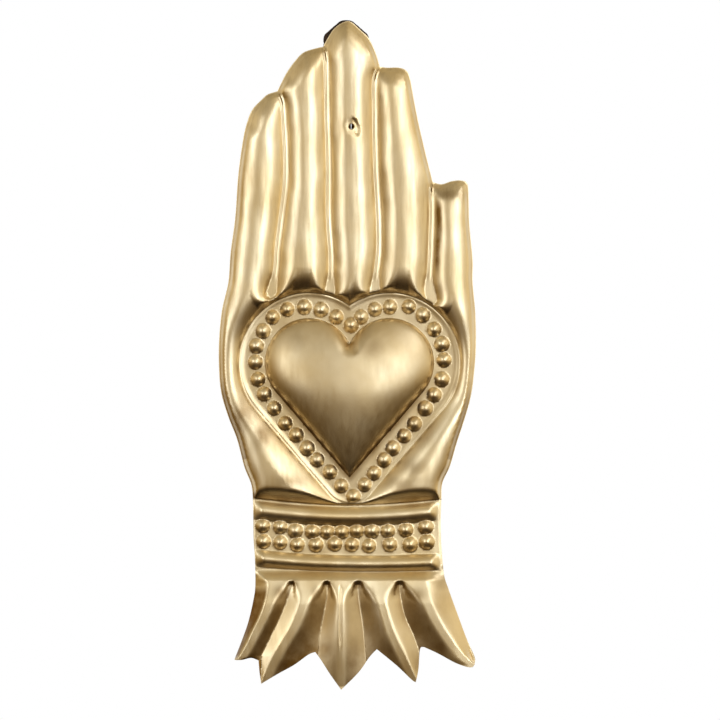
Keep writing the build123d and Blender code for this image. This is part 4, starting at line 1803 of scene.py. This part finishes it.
@dataclass
class HangerStrap:
    """Brass strip rolled round the ring's bar, with its pad in the finger's hollow, in millimetres."""

    width: float = 5.0
    thickness: float = 0.7
    middle: float = -1.6
    pad_y: float = -2.74
    pad_ends: Pair = (8.5, 14.5)
    eye: Pair = (1.4, 19.5)
    eye_radius: float = 1.51
    wrap: float = 300.0
    roll_points: int = 60
    heel: float = 0.6
    leg_points: int = 12
    sides: int = 44
    edge_powers: Pair = (0.12, 0.5)
    unevenness: float = 0.012
    uneven_turn: float = 19.0
    sharp_angle: float = 50.0

    def path(self) -> Array:
        """Middle of the strip from the pad's end to the end of the roll, as Z and Y.

        Formula: along the pad, then on the tangent to the eye, then round the eye.
        """
        bend = np.array([self.pad_ends[1], self.pad_y])
        eye = np.array([self.eye[1], self.eye[0]])
        far = np.hypot(*(eye - bend))
        lean = math.atan2(*(eye - bend)[::-1]) - math.asin(self.eye_radius / far)
        turn = lean - math.pi / 2 + np.radians(np.linspace(0, self.wrap, self.roll_points))
        roll = eye + self.eye_radius * np.column_stack([np.cos(turn), np.sin(turn)])
        shares = np.linspace(0, 1, self.leg_points)[:, None]
        pad = np.array([self.pad_ends[0], self.pad_y])
        pad = pad + (bend - [self.heel, 0] - pad) * shares
        heel = bend + self.heel * np.array([math.cos(lean), math.sin(lean)])
        curve = (1 - shares) ** 2 * pad[-1] + 2 * shares * (1 - shares) * bend + shares**2 * heel
        leg = heel + (roll[0] - heel) * shares
        return np.vstack([pad[:-1], curve[:-1], leg[:-1], roll])

    def build(self, brass: bpy.types.Material) -> bpy.types.Object:
        """Makes the strip: a rectangle with round edges carried along the path.

        Args:
            brass: Finish of the strip.

        Returns:
            The strap.
        """
        line = self.path()
        way = np.gradient(line, axis=0)
        way /= np.hypot(*way.T)[:, None]
        turn = np.linspace(0, 2 * math.pi, self.sides, endpoint=False)
        wide, thick = self.edge_powers
        across = np.sign(np.cos(turn)) * np.abs(np.cos(turn)) ** wide * self.width / 2
        through = np.sign(np.sin(turn)) * np.abs(np.sin(turn)) ** thick * self.thickness / 2
        uneven = 1 + self.unevenness * np.sin(np.linspace(0, self.uneven_turn, len(line)))[:, None]
        points = np.stack([
            self.middle + across * uneven,
            line[:, 1:] + through * way[:, :1],
            line[:, :1] - through * way[:, 1:],
        ], -1)
        piece = new_piece("rolled_strap", points.reshape(-1, 3), tube_faces(len(line), len(turn)))
        piece.data.set_sharp_from_angle(angle=math.radians(self.sharp_angle))
        piece.data.materials.append(brass)
        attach(piece, Body.HAND.value)
        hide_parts("hanger_strap")
        return piece


@dataclass
class SolderBed:
    """Lump of solder that fills the hollow round the strap's pad, in millimetres."""

    middle: Pair = (-1.6, 11.5)
    half: Pair = (3.2, 3.75)
    level: float = -2.85
    front: float = 1.3
    back: float = 0.45
    pole: float = 86.0
    corner_power: float = 3.0
    rim_share: float = 0.94
    rim_waves: tuple[tuple[int, float, float], ...] = ((3, 0.035, 1.0), (7, 0.025, 0.0))
    back_power: float = 0.6
    lumpiness: float = 0.25
    rows: int = 25
    columns: int = 56

    def build(self, solder: bpy.types.Material) -> bpy.types.Object:
        """Makes the lump.

        Formula: an oblong drop in rings from its front to its back, whose rim and back are
        uneven by a few waves.

        Args:
            solder: Finish of the lump.

        Returns:
            The lump.
        """
        rises = np.radians(np.linspace(-self.pole, self.pole, self.rows))
        turns = np.linspace(0, 2 * math.pi, self.columns, endpoint=False)
        rise, turn = np.meshgrid(rises, turns, indexing="ij")
        power = self.corner_power
        square = (np.abs(np.cos(turn)) ** power + np.abs(np.sin(turn)) ** power) ** (-1 / power)
        waves = sum(size * np.sin(count * turn + start) for count, size, start in self.rim_waves)
        out = square * (self.rim_share + waves) * np.cos(rise)
        x = self.middle[0] + self.half[0] * out * np.cos(turn)
        z = self.middle[1] + self.half[1] * out * np.sin(turn)
        lumps = 1 + self.lumpiness * np.sin(1.9 * x + 0.8 * z) * np.sin(1.3 * z - 0.6 * x)
        y = self.level + np.where(rise < 0, self.front * np.sin(rise),
                                  self.back * lumps * np.abs(np.sin(rise)) ** self.back_power)
        points = np.stack([x, y, z], -1).reshape(-1, 3)
        piece = new_piece("solder_lump", points, [face[::-1] for face in tube_faces(*x.shape)])
        piece.data.materials.append(solder)
        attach(piece, Body.HAND.value)
        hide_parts("solder_bed")
        return piece


@dataclass(frozen=True)
class Panel:
    """Soft light panel: degrees right of the camera and above the charm, size in metres and glow.

    A glow of 1 is a white face.
    """

    name: str
    azimuth: float
    elevation: float
    size: Pair
    glow: float
    colour: str


@dataclass
class Studio:
    """Camera, soft panels, pale floor and the dim room in front of the charm.

    Lengths are in metres and turns in degrees. The room's colours run over its whole height and
    width, and its tilt and dim stretches are shares of its radius.
    """

    middle: Pair = (0.00255, -0.07005)
    distance: float = 1.6
    view: float = 0.216
    sensor_mm: float = 36.0
    front: float = 0.003
    floor_z: float = -0.5
    floor_half: float = 4.0
    floor_colour: str = "#F2F0EC"
    floor_glow: float = 0.6
    panel_reach: float = 1.2
    panels: tuple[Panel, ...] = (
        Panel("right_panel", 21, 9, (0.62, 0.74), 2.95, "#DDEAFF"),
        Panel("left_panel", -37, 9, (0.42, 0.74), 2.75, "#DDEAFF"),
        Panel("high_panel", 46, 34, (0.55, 0.5), 2.0, "#EAF0FF"))
    room_radius: float = 3.0
    room_reach: float = 128.0
    room_rows: int = 46
    room_columns: int = 72
    room_heights: list[tuple[float, str]] = field(default_factory=lambda: [
        (0.0, "#1A1206"), (0.15, "#3C2B10"), (0.27, "#6C562C"), (0.40, "#9C865A"), (0.45, "#BAA986"),
        (0.49, "#D0C5AC"), (0.72, "#D0C6AF"), (1.0, "#C6B898")])
    room_tilt: float = 14.0
    tilt_heights: Pair = (-0.45, -0.1)
    dim_heights: Pair = (0.05, 0.6)
    dim_sides: Pair = (0.15, -0.4)
    room_dim: float = 0.34
    room_sides: list[tuple[float, str]] = field(default_factory=lambda: [
        (0.0, "#FFFFFF"), (0.12, "#F0F0F0"), (0.3, "#CFCFCF"), (0.75, "#D0D0D0"), (1.0, "#FFFFFF")])
    room_glow: float = 1.62

    def camera(self) -> None:
        """Sets the camera straight in front, at the photograph's scale."""
        data = bpy.data.cameras.new("camera")
        data.sensor_width = self.sensor_mm
        data.lens = self.sensor_mm * (self.distance - self.front) / self.view
        data.clip_end = 50.0
        camera = bpy.data.objects.new("camera", data)
        camera.location = (self.middle[0], -self.distance, self.middle[1])
        camera.rotation_euler = (math.pi / 2, 0, 0)
        bpy.context.scene.collection.objects.link(camera)
        bpy.context.scene.camera = camera

    def hang(self, panel: Panel) -> None:
        """Hangs one soft light panel that faces the charm.

        Args:
            panel: Where it hangs and how it glows.
        """
        width, height = panel.size
        data = bpy.data.lights.new(panel.name, "AREA")
        data.shape = "RECTANGLE"
        data.size, data.size_y = width, height
        data.energy = panel.glow * math.pi * width * height
        data.color = linear(panel.colour)[:3]
        side, up = math.radians(panel.azimuth), math.radians(panel.elevation)
        way = Vector((math.sin(side) * math.cos(up), -math.cos(side) * math.cos(up), math.sin(up)))
        light = bpy.data.objects.new(panel.name, data)
        light.location = Vector((self.middle[0], 0, self.middle[1])) + way * self.panel_reach
        light.rotation_euler = way.to_track_quat("Z", "Y").to_euler()
        light.visible_camera = False
        bpy.context.scene.collection.objects.link(light)

    def floor(self) -> None:
        """Lays the pale floor under the charm, which the camera sees a little brighter than lit."""
        corners = np.array([(-1, -1), (1, -1), (1, 1), (-1, 1)]) * self.floor_half
        points = np.column_stack([corners, np.full(4, self.floor_z)]) / MM
        floor = new_piece("pale_floor", points, [(0, 1, 2, 3)])
        material, tree = blank_material("pale_floor")
        matt = add(tree, "ShaderNodeBsdfDiffuse", {"Color": linear(self.floor_colour)}).outputs["BSDF"]
        pale = add(tree, "ShaderNodeEmission", {"Color": linear(self.floor_colour)}).outputs["Emission"]
        seen = add(tree, "ShaderNodeLightPath").outputs["Is Camera Ray"]
        share = add(tree, "ShaderNodeMath", {0: seen, 1: self.floor_glow}, operation="MULTIPLY")
        shader = add(tree, "ShaderNodeMixShader", {0: share.outputs["Value"], 1: matt, 2: pale})
        add(tree, "ShaderNodeOutputMaterial", {"Surface": shader.outputs["Shader"]})
        floor.data.materials.append(material)
        floor.visible_glossy = False

    def room(self) -> None:
        """Stands the dim room before the charm, which only its reflections show.

        Formula: the part of a sphere round the charm that lies within a set lean of the way
        to the camera, with the white world open behind it. It is dim below and at the upper left.
        """
        leans = np.radians(np.linspace(0, self.room_reach, self.room_rows))
        turns = np.linspace(0, 2 * math.pi, self.room_columns, endpoint=False)
        lean, turn = np.meshgrid(leans, turns, indexing="ij")
        way = np.stack([np.sin(lean) * np.cos(turn), -np.cos(lean), np.sin(lean) * np.sin(turn)], -1)
        middle = np.array([self.middle[0], 0, self.middle[1]])
        points = (way.reshape(-1, 3) * self.room_radius + middle) / MM
        room = new_piece("dim_room", points, grid_faces(self.room_rows, self.room_columns, wrap=True))
        material, tree = blank_material("dim_room")
        at = add(tree, "ShaderNodeTexCoord").outputs["Object"]
        parts = add(tree, "ShaderNodeSeparateXYZ", {"Vector": at}).outputs
        span = {"From Min": -self.room_radius, "From Max": self.room_radius}
        tilt = add(tree, "ShaderNodeMapRange", {
            "Value": parts["Z"], "From Min": self.tilt_heights[0] * self.room_radius,
            "From Max": self.tilt_heights[1] * self.room_radius,
            "To Max": math.tan(math.radians(self.room_tilt))}).outputs["Result"]
        up = add(tree, "ShaderNodeMath", {0: parts["X"], 1: tilt, 2: parts["Z"]},
                 operation="MULTIPLY_ADD").outputs["Value"]
        lift = add(tree, "ShaderNodeMapRange", {"Value": up, **span}).outputs["Result"]
        side = add(tree, "ShaderNodeMapRange", {"Value": parts["X"], **span}).outputs["Result"]
        tones = []
        for share, stops in ((lift, self.room_heights), (side, self.room_sides)):
            node = add(tree, "ShaderNodeValToRGB", {"Fac": share})
            elements = node.color_ramp.elements
            for place, colour in stops[1:-1]:
                elements.new(place).color = linear(colour)
            for element, (place, colour) in ((elements[0], stops[0]), (elements[-1], stops[-1])):
                element.position, element.color = place, linear(colour)
            tones.append(node.outputs["Color"])
        ramp = add(tree, "ShaderNodeMix", {"Factor": 1.0, 6: tones[0], 7: tones[1]},
                   data_type="RGBA", blend_type="MULTIPLY").outputs[2]
        high = add(tree, "ShaderNodeMapRange", {
            "Value": parts["Z"], "From Min": self.dim_heights[0] * self.room_radius,
            "From Max": self.dim_heights[1] * self.room_radius, "To Max": self.room_dim}).outputs["Result"]
        left = add(tree, "ShaderNodeMapRange", {
            "Value": parts["X"], "From Min": self.dim_sides[0] * self.room_radius,
            "From Max": self.dim_sides[1] * self.room_radius})
        dim = add(tree, "ShaderNodeMath", {0: high, 1: left.outputs["Result"]}, operation="MULTIPLY")
        shade = add(tree, "ShaderNodeMix", {
            "Factor": dim.outputs["Value"], 6: ramp, 7: linear("#000000")}, data_type="RGBA").outputs[2]
        glow = add(tree, "ShaderNodeEmission", {"Color": shade, "Strength": self.room_glow})
        add(tree, "ShaderNodeOutputMaterial", {"Surface": glow.outputs["Emission"]})
        room.data.materials.append(material)
        room.visible_camera = False

    def build(self) -> None:
        """Sets up the whole studio."""
        scene = bpy.context.scene
        scene.view_settings.view_transform = "Standard"
        world = bpy.data.worlds.new("white_room")
        world.use_nodes = True
        world.node_tree.nodes["Background"].inputs["Color"].default_value = linear("#FFFFFF")
        scene.world = world
        self.camera()
        self.floor()
        self.room()
        for panel in self.panels:
            self.hang(panel)


def main() -> None:
    """Builds and dresses the charm, piece by piece."""
    logging.basicConfig(level=logging.INFO, format="%(name)s: %(message)s")
    Studio().build()
    brass = SatinBrass().make()
    hand = EmbossedHand()
    sheet = hand.build()
    hand.dress(sheet, brass)
    LOG.info("%s: %d triangles", sheet.name, sum(len(p.vertices) - 2 for p in sheet.data.polygons))
    back = -float(hand.relief.height(np.zeros((1, 2)))[0]) + hand.relief.sheet
    # The burr's brass is painted dark as shade, since it hangs in the hollow behind the hole.
    torn = SatinBrass(name="shaded_torn_brass", bright="#6A4E28", deep="#4C3416").make()
    burr = NailBurr(radius=hand.hole_radius).build(back, torn)
    LOG.info("%s: bent back from y %.2f mm", burr.name, back)
    strip = SatinBrass(name="dull_brass_strip", bright="#C9AC72", deep="#A98A52", roughness=0.4).make()
    for piece in (HangerRing().build(BlackIron().make()), HangerStrap().build(strip),
                  SolderBed().build(GreySolder().make())):
        LOG.info("%s: %d faces", piece.name, len(piece.data.polygons))


if __name__ == "__main__":
    main()
